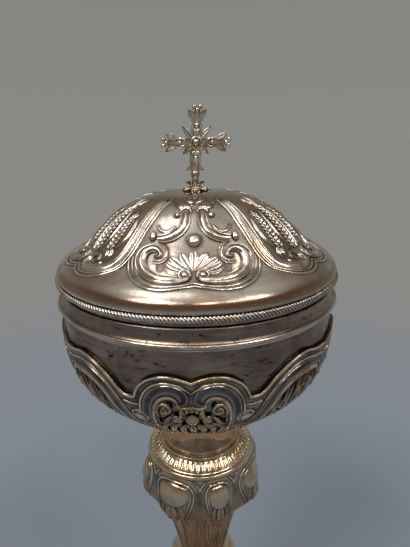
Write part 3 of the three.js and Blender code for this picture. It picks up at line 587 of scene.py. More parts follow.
CUP_OUTLINE = [(0, 3), (0, 14), (-0.3, 20), (-1.2, 28), (-2.8, 34), (-6.2, 40.2), (-10.4, 45.5),
               (-16.2, 51.6), (-21.6, 55.8), (-25.9, 59.2), (-31.3, 62.3), (-36.5, 64.8), (-43.9, 66.9)]
CUP_BAND = [(-0.3, 0), (0, 0.3), (-0.04, 1.2), (-0.12, 2.4), (-0.1, 3.4), (0.1, 4.2), (0.6, 4.9),
            (0.9, 5.2)]


def below_mouth(outline):
    """Points of the cup, listed as how far out of its radius and how far below its mouth."""
    return [(CUP_RADIUS + out, MOUTH - depth) for out, depth in outline]


def cup_line():
    return smooth(below_mouth(CUP_OUTLINE))


def cup_bowl():
    """The cup, with the moulded band under its mouth."""
    bottom = low("cup_bowl")
    wall_below = [point for point in cup_line() if point[1] < MOUTH - CUP_BAND[-1][1] - 0.2]
    outside = below_mouth(CUP_BAND) + wall_below + [(BOSS_BORE, bottom), (0, bottom)]
    wall = 1.1
    inner = offset(cup_line(), -wall)
    inside = [(CUP_RADIUS - wall + 0.3, MOUTH), (CUP_RADIUS - wall, MOUTH - 0.3)] + inner
    inside += [(BOSS_BORE, bottom + wall), (0, bottom + wall)]
    return turned("cup_bowl_raised", outside[::-1] + thinned(inside))


FALSE_CUP_LIFT, FALSE_CUP_LOW_LIFT = 1.1, 0.85
FALSE_CUP_DROP = 6
PANEL_TURN = -2.4
NARROW_REACH = 22
NARROW_EDGE = [(0, 10.6), (2.4, 9.6), (5, 8.8), (9, 8.4), (13.5, 9.4), (16, 10.8), (18.4, 13.2),
               (20, 16.4), (20.6, 18.3)]
WIDE_EDGE = [(0, 10.2), (4.5, 9.1), (9.6, 8.6), (13.6, 7.6), (16.6, 6.9), (19.6, 7.2), (22.6, 8),
             (25.6, 9.2), (27.8, 10.5), (30.3, 12.3), (32.6, 14.5), (34.8, 17), (36.3, 18.3)]
WINDOW_NARROW = [(0, 20.6), (4.8, 20.8), (6.2, 18.4), (8.6, 18.2), (10.8, 19.8), (12, 23), (12.2, 27.5),
                 (11.6, 33), (10.6, 40), (8, 45), (0, 46.5)]
WINDOW_WIDE = [(0, 21), (5.6, 20), (8, 17.8), (14, 16.9), (19.4, 17.3), (23.4, 19), (26.4, 22.2),
               (27.6, 27), (27, 33), (24.8, 41), (18, 46), (0, 47)]


def false_cup_line():
    """The outside of the false cup, which lies closer to the cup towards the bottom."""
    line = cup_line()
    depth = [MOUTH - level for _, level in line]
    lift = np.interp(depth, [30, 50], [FALSE_CUP_LIFT, FALSE_CUP_LOW_LIFT])
    return offset(line, lift[:, None])


def panel_place(points, face):
    """Which panel a flat point lies in, and how far across it the point is."""
    turn = (points[:, 0] - PANEL_TURN + 60) % 120 - 60
    radius = np.interp(points[:, 1], face[0], face[1])
    narrow = np.abs(turn) < NARROW_REACH
    centred = np.where(narrow, np.abs(turn), 60 - np.abs(turn))
    return narrow, np.radians(centred) * radius


def inside_outline(across, along, outline):
    """Whether points lie in a closed outline, by counting the edges that they see."""
    inside = np.zeros(len(across), bool)
    ends = outline[1:] + outline[:1]
    for (x0, y0), (x1, y1) in zip(outline, ends):
        crossed = (y0 > along) != (y1 > along)
        edge = x0 + (along - y0) * (x1 - x0) / (y1 - y0 if y1 != y0 else 1e-9)
        inside ^= crossed & (across < edge)
    return inside


def false_cup_sheet(face):
    """The pierced sheet: a grid from the scalloped edge down, with its windows cut out."""
    columns, rows = 720, 84
    edge_middle = 15.0
    bottom = face[0][-1]
    bpy.ops.object.select_all(action="DESELECT")
    bpy.ops.mesh.primitive_grid_add(x_subdivisions=columns, y_subdivisions=rows, size=2)
    piece = bpy.context.object
    piece.name = "false_cup_pierced"
    flat = read(piece) * MM
    degrees = (flat[:, 0] + 1) * 180
    share = (flat[:, 1] + 1) / 2
    edge_place = np.column_stack([degrees, np.full(len(degrees), edge_middle)])
    narrow, across = panel_place(edge_place, face)
    edge_narrow = np.interp(across, *zip(*NARROW_EDGE))
    edge_wide = np.interp(across, *zip(*WIDE_EDGE))
    edge = np.where(narrow, edge_narrow, edge_wide)
    along = edge + share * (bottom - edge)
    write(piece, np.column_stack([degrees, along, np.zeros(len(degrees))]))
    cut_windows(piece, face)
    degrees, along, rise = read(piece).T
    radius = np.interp(along, face[0], face[1])
    write(piece, np.column_stack([np.radians(degrees) * radius, along, rise]))
    lay(piece, face, 0)
    mend(piece, SEAM)
    thicken = piece.modifiers.new("sheet", "SOLIDIFY")
    thicken.thickness = 0.75 * MM
    thicken.offset = -1
    bpy.ops.object.modifier_apply(modifier=thicken.name)
    return rounded(piece, 50)


def cut_windows(piece, face):
    """Deletes the faces of the flat sheet that lie in a window."""
    points = read(piece)
    corners = np.zeros(len(piece.data.polygons) * 4, int)
    piece.data.polygons.foreach_get("vertices", corners)
    middles = points[corners.reshape(-1, 4)].mean(axis=1)
    narrow, across = panel_place(middles, face)
    in_narrow = narrow & inside_outline(across, middles[:, 1], WINDOW_NARROW)
    in_wide = ~narrow & inside_outline(across, middles[:, 1], WINDOW_WIDE)
    only(piece)
    bpy.ops.object.mode_set(mode="EDIT")
    bpy.ops.mesh.select_mode(type="FACE")
    bpy.ops.object.mode_set(mode="OBJECT")
    piece.data.polygons.foreach_set("select", in_narrow | in_wide)
    bpy.ops.object.mode_set(mode="EDIT")
    bpy.ops.mesh.delete(type="FACE")
    bpy.ops.object.mode_set(mode="OBJECT")


def with_width(points, half):
    return [(across, along, half) for across, along in points]


def bluish(pieces):
    """Marks strokes that have kept their silver and darkened to blue, between gilded ones."""
    for piece in pieces:
        paint(piece, "tint", np.ones(len(piece.data.vertices)))
    return pieces


def sunk(pieces):
    """The work is chased more shallowly towards the bottom of the cup."""
    for piece in pieces:
        points = read(piece)
        points[:, 2] *= np.interp(points[:, 1], [34, 46], [1, 0.5])
        write(piece, points)
    return pieces


def narrow_panel():
    """The narrow cartouche of the false cup, with a shell and volutes in its window."""
    second = [(0, 14.6, 0.3), (2.6, 12.6, 0.5), (5, 11.4, 0.5), (8.6, 10.9, 0.5), (12, 11.5, 0.5),
              (14.6, 13.2, 0.5), (16.8, 16, 0.5), (18.2, 19.6, 0.5), (18.7, 24, 0.5),
              (18.4, 30, 0.45), (17.4, 37, 0.4), (16, 44, 0.3)]
    scroll = [(4.9, 17.6, 0.5), (4.4, 18.9, 0.9), (2.9, 18.2, 1.6), (2.9, 15.9, 1.9), (5, 13.8, 1.8),
              (8.4, 13.1, 1.8), (11.6, 14.1, 1.9), (14.2, 16.6, 1.9), (15.7, 20.2, 1.8),
              (16.1, 25, 1.7), (15.8, 31, 1.6), (14.9, 38, 1.4), (13.8, 45, 1.0)]
    inner = [(4.8, 19.4, 0.4), (5.6, 17.6, 0.6), (7.6, 16.6, 0.7), (10.4, 17.3, 0.7), (12.4, 19.6, 0.7),
             (13.5, 23.4, 0.7), (13.8, 28, 0.7), (13.3, 34, 0.7), (12.2, 41, 0.7), (9.4, 46, 0.6)]
    strip = [(0, 20.2, 0.6), (1.8, 21, 0.6), (3.9, 20.9, 0.6), (5.2, 19.4, 0.5)]
    volute = [(9.0, 22.3, 0.5), (9.8, 21.6, 0.6), (10.6, 22.3, 0.6), (10.3, 23.6, 0.65),
              (9.0, 24.1, 0.65), (7.8, 23.3, 0.65), (7.6, 21.6, 0.65), (8.8, 20.2, 0.7),
              (10.7, 20.0, 0.7), (12.0, 21.6, 0.65), (12.3, 24.2, 0.6), (11.6, 26.6, 0.4)]
    leg = [(7.2, 25.6, 0.5), (8.6, 27.6, 0.8), (9.6, 30.4, 0.8), (11.6, 32.6, 0.6)]
    side_leaf = [(4.9, 30.8, 0.5), (4.4, 28.4, 1.0), (5.6, 26.4, 1.0), (7.2, 26.2, 0.4)]
    sprays = [
        [(0.0, 31.4, 0.6), (0.0, 35, 1.5), (0.0, 39, 1.4), (0.0, 44, 0.7), (0, 47, 0.3)],
        [(1.8, 31.4, 0.6), (3.2, 34, 1.3), (3.8, 38, 1.3), (3.4, 42.6, 0.8), (2.6, 46.6, 0.4)],
        [(4.0, 31.2, 0.6), (6.2, 33.2, 1.2), (7.3, 37, 1.3), (7.0, 41.6, 0.9), (5.6, 46.4, 0.5)],
        [(6.6, 30.8, 0.6), (9.2, 32.6, 1.0), (10.6, 36.2, 1.0), (10.4, 40.6, 0.8), (9.0, 45.4, 0.5)],
    ]
    pieces = pair(with_width(NARROW_EDGE, 0.55), ROUND) + pair(second, ROUND)
    pieces += bluish(pair(scroll, HOLLOW)) + pair(inner) + pair(strip, ROUND)
    openwork = pair(volute, ROUND) + pair(leg, LEAF) + pair(side_leaf, LEAF) + [stroke(sprays[0], LEAF)]
    for spray in sprays[1:]:
        openwork += pair(spray, LEAF)
    openwork += dome_pair(3.5, 23, 1.0, 1.3, 0.9, 20) + dome_pair(3.9, 25.2, 0.9, 1.1, 0.8)
    openwork += [dome(0, 21.8, 1.1, 1.2, 0.9), dome(0, 27.8, 2.5, 3.4, 1.1, segments=24)]
    openwork += dome_pair(1.7, 22.6, 0.8, 0.9, 0.7)
    for angle in (-42, -22, 0, 22, 42):
        tip = (2.9 * math.sin(math.radians(angle)), 28.6 - 3.6 * math.cos(math.radians(angle)))
        openwork.append(stroke([(0, 31, 0.25), (tip[0] * 0.6, 28.6, 0.4), (*tip, 0.5)], ROUND, 4))
    openwork += dome_pair(5.9, 28.2, 1.2, 1.3, 0.9)
    pieces += dulled(openwork)
    return joined("narrow_panel", sunk(pieces))


def wide_panel():
    """The wide cartouche of the false cup, with long leaves in its window, and the roundels
    and leaf tips beside it."""
    second = [(0, 14.8, 0.3), (4.6, 12.6, 0.45), (9.6, 11.6, 0.5), (13.6, 10.6, 0.5),
              (17.6, 10.1, 0.5), (21.6, 10.7, 0.5), (25.4, 12.4, 0.5), (28.8, 15, 0.5),
              (31.8, 18.4, 0.5), (33.8, 22.6, 0.5), (34.2, 28, 0.5), (33.2, 35, 0.4), (30.6, 43, 0.3)]
    scroll = [(5.3, 18, 0.5), (4.8, 19.2, 0.9), (3.2, 18.4, 1.6), (3.4, 16, 1.9), (6, 14.2, 1.8),
              (10.6, 13.4, 1.8), (16, 12.7, 1.8), (21, 13.2, 1.9), (25.4, 15.2, 2.0),
              (28.9, 18.6, 2.0), (31, 23, 1.9), (31.5, 28.6, 1.8), (30.4, 35.6, 1.5),
              (27.8, 44, 1.1)]
    inner = [(5.2, 20.4, 0.5), (6.2, 18, 0.8), (9, 16.6, 1.0), (14, 15.9, 1.05), (19.6, 16.2, 1.05),
             (24.2, 18, 1.05), (27.4, 21.4, 1.05), (28.8, 26.6, 1.05), (28.2, 33, 1.0),
             (26, 41, 0.9), (20, 46.4, 0.7)]
    strip = [(0, 20.6, 0.6), (2.2, 21.4, 0.6), (4.4, 21.2, 0.6), (5.6, 20, 0.5)]
    blades = [
        [(0.0, 45, 0.7), (1.6, 39, 1.1), (0.9, 32, 1.2), (2.8, 26, 1.0), (2.0, 21.6, 0.4)],
        [(2.4, 45.4, 0.7), (6.4, 39.0, 1.1), (6.9, 32, 1.2), (9.4, 25, 1.0), (8.2, 19, 0.4)],
        [(5.0, 45.6, 0.7), (10.6, 39.8, 1.1), (12.0, 33, 1.2), (15.6, 26, 1.0), (14.8, 18, 0.4)],
        [(7.8, 46, 0.7), (14.6, 40.8, 1.1), (17.0, 34.4, 1.2), (21.4, 27, 1.0), (21.2, 19, 0.4)],
        [(11, 46.4, 0.7), (18.2, 42.4, 1.0), (21.8, 36.6, 1.2), (25.8, 29.8, 1.0), (26.2, 22.6, 0.4)],
        [(14.6, 46.6, 0.7), (21.2, 43.8, 1.0), (24.8, 39.4, 1.1), (27, 33, 0.5)],
    ]
    veins = [
        [(6.6, 27.4, 0.5), (5.0, 24.6, 1.0), (4.8, 21.8, 0.4)],
        [(12.6, 28.4, 0.5), (11.2, 24.2, 1.0), (11.6, 19.4, 0.4)],
        [(18.8, 28.6, 0.5), (18.0, 23.6, 1.0), (18.4, 18.4, 0.4)],
        [(23.6, 31, 0.5), (23.6, 26, 0.9), (23.8, 21, 0.4)],
    ]
    leaf_tips = [
        [(38.0, 40.0, 0.5), (38.2, 36.6, 1.0), (38.6, 33.6, 0.4)],
        [(36.4, 40.4, 0.5), (35.2, 37.2, 1.0), (34.6, 34.2, 0.4)],
        [(40.2, 40.4, 0.5), (41.2, 37, 1.0), (42.4, 34.2, 0.4)],
    ]
    pieces = pair(with_width(WIDE_EDGE, 0.55), ROUND) + pair(second, ROUND)
    pieces += bluish(pair(scroll, HOLLOW)) + pair(inner) + pair(strip, ROUND)
    openwork = []
    for path in blades + veins:
        openwork += pair(path, LEAF)
    for across, along in ((4.6, 27.4), (11, 30.4), (17.4, 29.6), (23.2, 33.4), (5.4, 36.2),
                          (12.8, 37.4), (18.6, 38), (2.6, 33.6), (10.2, 22.2), (17.6, 22.6),
                          (23.6, 25.4)):
        openwork += dome_pair(across, along, 1.1, 1.4, 0.9, 25, 12)
    pieces += dulled(openwork)
    pieces += pair([(36.1, 18.3, 0.55), (38.4, 18.6, 0.6), (40.9, 18.3, 0.55)], ROUND, 3)
    pieces += pair([(35.4, 21.4, 0.4), (38.4, 21.8, 0.45), (41.4, 21.4, 0.4)], ROUND, 3)
    pieces += dome_pair(39.2, 27.8, 1.9, 1.9, 1.1)
    pieces += [ring(hand * 39.2, 27.8, 2.7, 0.45) for hand in (-1, 1)]
    for path in leaf_tips:
        pieces += pair(path, LEAF)
    return joined("wide_panel", sunk(pieces))


def cup_leaf():
    """One of the leaves that stand round the bottom of the false cup."""
    outline = [(0, 63.5, 1.2), (0, 60, 2.0), (0, 56, 2.5), (0, 52.5, 2.2), (0, 50, 1.2), (0, 48.8, 0.3)]
    side = [(0.9, 61, 0.4), (2.0, 57, 0.8), (3.0, 54.2, 0.8), (3.4, 52, 0.3)]
    return joined("cup_leaf", sunk([stroke(outline, LEAF)] + pair(side, LEAF)))


def build_cup():
    bowl = cup_bowl()
    face = shifted(face_of(false_cup_line()), -FALSE_CUP_DROP)
    sheet = false_cup_sheet(face)
    narrow = laid("false_cup_narrow", narrow_panel(), face, thirds(PANEL_TURN))
    wide = laid("false_cup_wide", wide_panel(), face, thirds(PANEL_TURN + 60))
    leaves = laid("false_cup_leaves", cup_leaf(), face, [PANEL_TURN + 15 + 30 * i for i in range(12)])
    soil_and_shade(sheet, [narrow, wide, leaves], 1.1)
    half = wire_radius("cup_bead_wire")
    bead_line = arc(reach("cup_bead_wire") - half, BEAD_LEVEL, half, 0, 360, 20)[:-1]
    fillet_line = arc(CUP_RADIUS + 0.1, BEAD_LEVEL - half - 0.75, 0.5, 0, 360, 14)[:-1]
    bead = joined("cup_bead_wire_drawn", [
        turned("bead", bead_line, LARGE_ROUND, 80), turned("fillet", fillet_line, LARGE_ROUND, 80)])
    return bowl, sheet, narrow, wide, leaves, bead


# Stem, knop and foot.

# The lobes of the knop are large and small in turn. These are turns in degrees: the first small
# lobe, the step to the next one like it, and from a lobe to the valley beside it.
KNOP_TURN = 17
KNOP_REPEAT = 90
KNOP_VALLEY = 18.5
KNOP_VALLEY_DEPTH = 2.3
SMALL_LOBE, LARGE_LOBE = 6.4, 10.4


def knop_line():
    bottom, top = low("knop_body"), high("knop_body")
    tall = top - bottom
    outline = [(21.6, 0), (25.38, 0.06), (28.15, 0.15), (29.58, 0.25), (30, 0.37), (29, 0.68), (26, 1)]
    return smooth([(r, bottom + up * tall) for r, up in reversed(outline)])


def knop_valley(points):
    """How deep in a valley between two lobes each point lies, from 0 to 1."""
    angle = np.degrees(np.arctan2(points[:, 0], -points[:, 1]))
    aside = np.abs((angle - KNOP_TURN + KNOP_REPEAT / 2) % KNOP_REPEAT - KNOP_REPEAT / 2)
    share = np.interp(aside, [0, KNOP_VALLEY, KNOP_REPEAT / 2], [0, 0.5, 1])
    return (1 - np.cos(2 * np.pi * share)) / 2


def lobe(piece, bottom, top):
    """Draws a piece of the knop in between the lobes, most at half the knop's height."""
    points = read(piece)
    radius = np.hypot(points[:, 0], points[:, 1])
    share = np.clip((points[:, 2] - bottom) / (top - bottom), 0, 1)
    depth = KNOP_VALLEY_DEPTH * knop_valley(points) ** 1.5 * np.sin(np.pi * share)
    scale = 1 - depth / np.maximum(radius, 1)
    points[:, 0] *= scale
    points[:, 1] *= scale
    write(piece, points)


def knop_panel(half):
    """One lobe: an oval boss under an arched fillet, a leaf below it, and half of the V that
    fills the valley on either side."""
    arch = [(0, 2.0, 0.5), (half * 0.55, 2.6, 0.5), (half * 0.88, 5.2, 0.5), (half, 9, 0.5),
            (half * 0.92, 14, 0.45), (half * 0.7, 20, 0.4), (half * 0.5, 26, 0.3)]
    inner = [(0, 3.5, 0.35), (half * 0.5, 4.0, 0.35), (half * 0.76, 6.2, 0.35),
             (half * 0.84, 9.4, 0.35), (half * 0.76, 13.6, 0.3), (half * 0.55, 19, 0.25)]
    vee = [(half * 0.86, 0.5, 0.35), (half + 1.2, 3.0, 0.45), (half + 2.5, 5.4, 0.45)]
    leaf = [(0, 12.6, 0.8), (0, 16.5, half * 0.3), (0, 22, half * 0.26), (0, 27.4, 0.4)]
    side = [(half * 0.36, 13, 0.4), (half * 0.52, 17.5, 0.9), (half * 0.42, 22.5, 0.8),
            (half * 0.2, 27, 0.3)]
    pieces = pair(arch, ROUND) + raised(pair(inner, ROUND), 0, 0.5) + pair(vee, ROUND) + pair(side, LEAF)
    pieces += [stroke(leaf, LEAF)] + dulled([dome(0, 8.4, half * 0.84, 6.0, 1.7, segments=28)])
    panel = joined("knop_panel", pieces)
    paint(panel, "tint", np.clip((read(panel)[:, 1] - 12) / 6, 0, 1))
    return panel


CALYX_LEAVES = 15
TEETH = 54


def calyx_line():
    bottom, top = low("knop_calyx"), high("knop_calyx")
    outline = [(0, 0), (0.18, 0.21), (0.42, 0.47), (0.7, 0.76), (1, 1)]
    return smooth([(12.6 + out * 9, bottom + up * (top - bottom)) for out, up in outline])


def calyx_leaf():
    middle = [(0, 0.8, 0.9), (0, 9, 1.2), (0, 18, 1.6), (0, 27, 2.0), (0, 34, 1.7), (0, 37.6, 0.4)]
    side = [(1.4, 1, 0.25), (1.9, 11, 0.4), (2.6, 22, 0.5), (3.3, 31, 0.5), (2.6, 36.4, 0.3)]
    return joined("calyx_leaf", [stroke(middle, LEAF)] + pair(side, ROUND))


def dentils(radius, level):
    """The row of little upright leaves round the neck."""
    face = face_of(smooth([(radius, level), (20.4, level + 3.9)], 0.2))
    tooth = [(0, 0.5, 0.7), (0, 1.1, 1.05), (0, 2.6, 1.0), (0, 4.2, 0.85), (0, 5.2, 0.4)]
    drawing = joined("dentil", [stroke(tooth, LEAF, 4), dome(0, 1.0, 0.85, 0.7, 0.9, segments=12)])
    return laid("dentils_chased", drawing, face, [360 * (i + 0.5) / TEETH for i in range(TEETH)])


def build_knop():
    """The bulb and the ornament on it, drawn in together between the lobes."""
    bottom, top = low("knop_body"), high("knop_body")
    knop = turned("knop_bulb", knop_line() + offset(knop_line(), -1.2)[::-1], LARGE_ROUND)
    lobe(knop, bottom, top)
    face = face_of(knop_line())
    turns = [KNOP_TURN + KNOP_REPEAT * i for i in range(4)]
    small = laid("small", knop_panel(SMALL_LOBE), face, turns)
    large = laid("large", knop_panel(LARGE_LOBE), face, [turn + KNOP_REPEAT / 2 for turn in turns])
    panels = joined("knop_ornament", [small, large])
    lobe(panels, bottom, top)
    points = read(knop)
    low_down = np.clip((bottom + 16 - points[:, 2]) / 6, 0, 1)
    below_cap = np.clip((top - 4 - points[:, 2]) / 2, 0, 1)
    # The valleys between the lobes take painted shade, below the cap and above the lower part of the
    # knop.
    soil_and_shade(knop, [panels], 0.8, 0.75 * knop_valley(points) ** 5 * below_cap * (1 - low_down))
    paint(knop, "tint", low_down)
    return knop, panels


def rounded_disc(name, bore, radius, bottom, top, steps):
    """A disc with a bore and a round edge."""
    half = (top - bottom) / 2
    edge = arc(radius - half, bottom + half, half, -90, 90)
    return turned(name, [(bore, bottom), *edge, (bore, top)], steps)


def build_stem():
    calyx = turned("knop_calyx_turned", calyx_line() + offset(calyx_line(), -1.4)[::-1], MIDDLE_ROUND)
    leaves = laid("knop_calyx_leaves", raised([calyx_leaf()], 0, 0.6)[0], face_of(calyx_line()),
                  [24 * i + 10 for i in range(CALYX_LEAVES)])
    knop, panels = build_knop()
    cap = rounded_disc("knop_cap_turned", ROD_BORE, reach("knop_cap"), low("knop_cap"), high("knop_cap"),
                       LARGE_ROUND)
    ring_bottom, ring_top = low("dentil_ring"), low("neck_ring")
    slope = smooth([(24.5, ring_bottom + 0.6), (22.6, ring_bottom + 1.9), (20.4, ring_top)], 0.4)
    cone = turned("dentil_ring_turned", [
        (BOSS_BORE, ring_bottom), (25.2, ring_bottom), (25.0, ring_bottom + 0.4), *slope,
        (BOSS_BORE, ring_top)])
    teeth = dentils(24.7, ring_bottom + 0.2)
    neck_top = high("neck_ring")
    quarter = (neck_top - ring_top) / 4
    neck = turned("neck_ring_turned", [
        (BOSS_BORE, ring_top), *arc(20.3 - quarter, ring_top + quarter, quarter, -90, 60),
        *arc(18.3 - quarter, neck_top - quarter, quarter, -60, 90), (BOSS_BORE, neck_top)])
    collar_top = high("cup_collar")
    tall = collar_top - neck_top
    waist = [(17.4, 0), (14.9, 0.09), (11.7, 0.32), (10.6, 0.56), (11.9, 0.82)]
    collar_line = smooth([(r, neck_top + share * tall) for r, share in waist] + [(15, collar_top)])
    collar_line = [(BOSS_BORE, neck_top)] + collar_line + [(BOSS_BORE, collar_top)]
    collar = turned("cup_collar_turned", collar_line, MIDDLE_ROUND)
    return calyx, leaves, knop, panels, cap, cone, teeth, neck, collar


FOOT_OUTLINE = [(62.4, 0), (60.83, 1.88), (57.16, 4.86), (53.33, 7.03), (50.35, 10.26), (46.68, 15.82),
                (41.23, 23.44), (23.1, 41.02), (15.55, 49.11), (11.05, 55.67), (10, 58.6)]


def foot_line():
    base = high("foot_rim_band") + 1.8
    return smooth([(62.4, base - 1.8), (62.7, base - 0.9)] + [(r, base + z) for r, z in FOOT_OUTLINE])


def foot_shell(outside, band_top):
    """The raised foot, with a wall inside it."""
    wall = 1.1
    top = outside[-1][1]
    inside = thinned([(r, z) for r, z in offset(outside, -wall) if z < top - wall])
    neck = [(ROD_BORE, top), (ROD_BORE, top - wall), (8.9, top - wall)]
    return turned("foot_shell_raised", outside + neck + inside[::-1] + [(61.3, band_top)])


def build_foot():
    flange_top, band_top = high("foot_flange"), high("foot_rim_band")
    flange = turned("foot_flange_turned", [
        (57, 0.4), (57.4, 0), (63.3, 0), (64, 0.6), (64, 1.5), (63.2, flange_top), (57, flange_top)])
    radius = reach("foot_rim_band")
    band = turned("foot_rim_band_turned", [
        (radius - 1, flange_top), (radius, flange_top), (radius, band_top), (radius - 1, band_top)])
    half = wire_radius("foot_cord_wire")
    wire = cord_wire("foot_cord_twisted", reach("foot_cord_wire") - half, (flange_top + band_top) / 2,
                     half, 288)
    outside = foot_line()
    shell = foot_shell(outside, band_top)
    face = shifted(face_of(outside), 0.95)
    cartouches = laid("foot_cartouches", cartouche_panel(), face, thirds(0))
    wheat = laid("foot_wheat_panels", wheat_panel(), face, thirds(60))
    soil_and_shade(shell, [cartouches, wheat], 0.75)
    collar_top, spool_top, ring_top = high("foot_collar"), high("stem_spool"), high("stem_ring")
    collar = rounded_disc("foot_collar_turned", ROD_BORE, 12.6, outside[-1][1], collar_top,
                          MIDDLE_ROUND)
    middle = (collar_top + spool_top) / 2
    waist = smooth([(10.6, collar_top + 1.1), (8.7, middle - 1.2), (8.7, middle + 1.2),
                    (10.6, spool_top - 1.1)], 0.4)
    spool = turned("stem_spool_turned", [
        (ROD_BORE, collar_top), (11.4, collar_top), (11.4, collar_top + 0.8), *waist,
        (11.4, spool_top - 0.8), (11.4, spool_top), (ROD_BORE, spool_top)], MIDDLE_ROUND)
    swell = [(13.4, 0), (16.8, 1.1), (17.9, 2.9), (16.6, 4.8), (14.3, 6.2), (13.0, 7.6)]
    bulb_line = smooth([(r, spool_top + z) for r, z in swell] + [(12.7, ring_top)])
    bulb = turned("stem_ring_turned", [(ROD_BORE, spool_top)] + bulb_line + [(ROD_BORE, ring_top)],
                  MIDDLE_ROUND)
    return flange, band, wire, shell, cartouches, wheat, collar, spool, bulb


# Finial.

CROSS_ARM, CROSS_SIDE_ARM = 13.9, 13.7
CROSS_REACH = 14.8
CROSS_LEAN = 3.3
FINIAL_LEAF_TURN = 51.4


def cross_arm(length):
    """An arm of the cross, drawn along: a flat stem that widens into two leaves, with a crescent
    on it and three balls at its end."""
    tip = length - CROSS_ARM
    stem = [(0, 1.4, 1.8), (0, 4, 2.1), (0, 7, 1.9), (0, 9.4 + tip, 1.5), (0, 11.6 + tip, 1.3),
            (0, 12.8 + tip, 0.6)]
    side = [(0.8, 7.2 + tip, 0.6), (1.6, 9.2 + tip, 1.0), (2.5, 11.0 + tip, 1.15),
            (3.4, 12.6 + tip, 0.4)]
    pieces = raised([stroke(stem, BAND)] + pair(side, LEAF), 0, 0.6)
    balls = dome_pair(1.15, 13.5 + tip, 0.95, 0.95, 1.0) + [dome(0, 12.4 + tip, 0.95, 0.95, 1.0)]
    crescent = [ring(0, 6.0, 1.6, 0.6, 60, 300), dome(0, 6.6, 0.9, 0.9, 0.9)]
    return pieces + raised(balls + crescent, 0.8)


def turn_flat(piece, degrees):
    """Turns a flat drawing about its origin."""
    points = read(piece)
    turn = math.radians(degrees)
    x, y = points[:, 0].copy(), points[:, 1].copy()
    points[:, 0] = x * math.cos(turn) + y * math.sin(turn)
    points[:, 1] = y * math.cos(turn) - x * math.sin(turn)
    write(piece, points)
    return piece


def cross_face():
    """One face of the cross, drawn flat about its centre."""
    pieces = []
    for turn, length in ((0, CROSS_ARM), (90, CROSS_SIDE_ARM), (270, CROSS_SIDE_ARM)):
        pieces.append(turn_flat(joined("arm", cross_arm(length)), turn))
    lower = [stroke([(0, -1.2, 2.2), (0, -4, 2.3), (0, -8, 2.3), (0, -11.2, 2.1)], BAND)]
    lower += pair([(1.2, -8.6, 0.5), (2.3, -10, 0.9), (3.4, -11, 0.3)], LEAF)
    pieces += raised(lower, 0, 0.7)
    pieces += raised([ring(0, -5.4, 1.7, 0.6, -120, 120), dome(0, -6.0, 0.9, 0.9, 0.9)], 0.8)
    for turn, tip in ((43, 8.6), (317, 8.6), (130, 6.9), (230, 6.9)):
        ray = [(0, 2.0, 1.2), (0, tip * 0.55, 1.2), (0, tip * 0.82, 0.8), (0, tip, 0.2)]
        pieces.append(turn_flat(stroke(ray, LEAF), turn))
    pieces += raised([ring(0, 0, 2.05, 0.45), dome(0, 0, 1.5, 1.5, 1.3, segments=24)], 1.0)
    return joined("cross_face", pieces)


def build_cross():
    """Two faces back to back, leaning a little as the old cross does."""
    face = cross_face()
    mend(face)
    x, y, rise = read(face).T
    depth = np.where(rise <= 0.02, -0.3, rise + 0.5)
    level = high("finial_cross") - CROSS_REACH
    write(face, np.column_stack([x, -depth, level + y]))
    back = copied(face)
    points = read(back)
    points[:, 0] *= -1
    points[:, 1] *= -1
    write(back, points)
    cross = joined("finial_cross_cast", [face, back])
    mend(cross, KEPT_APART)
    points = read(cross)
    points[:, 0] += (points[:, 2] - high("finial_ball")) * math.tan(math.radians(CROSS_LEAN))
    write(cross, points)
    return rounded(cross, 50)


def finial_leaf(path, *ball):
    """A leaf of the finial's base, with a little ball at its tip."""
    return joined("leaf", [stroke(path, LEAF), dome(0, *ball)])


def build_finial():
    cross = build_cross()
    foot, top = low("finial_calyx"), high("finial_calyx")
    waist = smooth([(2.4, foot + 1.6), (2.1, foot + 2.4), (2.5, foot + 3.0), (2.2, top - 0.1)], 0.3)
    calyx = turned("finial_calyx_turned", [
        (STUD_BORE, foot), (3.6, foot), (3.9, foot + 0.4), (3.0, foot + 1.0), *waist, (STUD_BORE, top)],
        SMALL_ROUND)
    lower_line = [(2.0, foot + 0.5), (3.4, foot + 1.0), (4.6, foot + 0.9), (5.6, foot + 0.2)]
    upper_line = [(1.8, foot + 1.6), (2.6, foot + 3.0), (4.0, foot + 3.6)]
    leaf_low = finial_leaf([(0, 0, 0.8), (0, 1.4, 1.2), (0, 2.8, 1.1), (0, 3.9, 0.3)],
                           3.5, 0.75, 0.6, 0.9)
    leaf_high = finial_leaf([(0, 0, 0.6), (0, 1.2, 0.9), (0, 2.2, 0.8), (0, 3.0, 0.3)],
                            2.7, 0.55, 0.5, 0.6)
    turns = [FINIAL_LEAF_TURN * i for i in range(7)]
    lower = laid("finial_leaves_lower", leaf_low, face_of(smooth(lower_line, 0.2)), turns)
    upper = laid("finial_leaves_upper", leaf_high, face_of(smooth(upper_line, 0.2)),
                 [turn + 25 for turn in turns])
    bead, ball = 1.6, 1.95
    ball_top = high("finial_ball")
    beads = turned("finial_ball_turned", [
        (0, top), *arc(0, top + bead - 0.4, bead, -48, 38), *arc(0, ball_top - ball, ball, -34, 78, 12),
        (0, ball_top)], BEAD_ROUND, 60)
    return cross, calyx, lower, upper, beads


# Finishes.

def node_group(name, inputs, outputs):
    group = bpy.data.node_groups.new(name, "ShaderNodeTree")
    for label, value in inputs:
        socket = group.interface.new_socket(label, in_out="INPUT", socket_type="NodeSocketFloat")
        socket.default_value = value
    for label in outputs:
        group.interface.new_socket(label, in_out="OUTPUT", socket_type="NodeSocketFloat")
    return group, group.nodes.new("NodeGroupInput"), group.nodes.new("NodeGroupOutput")


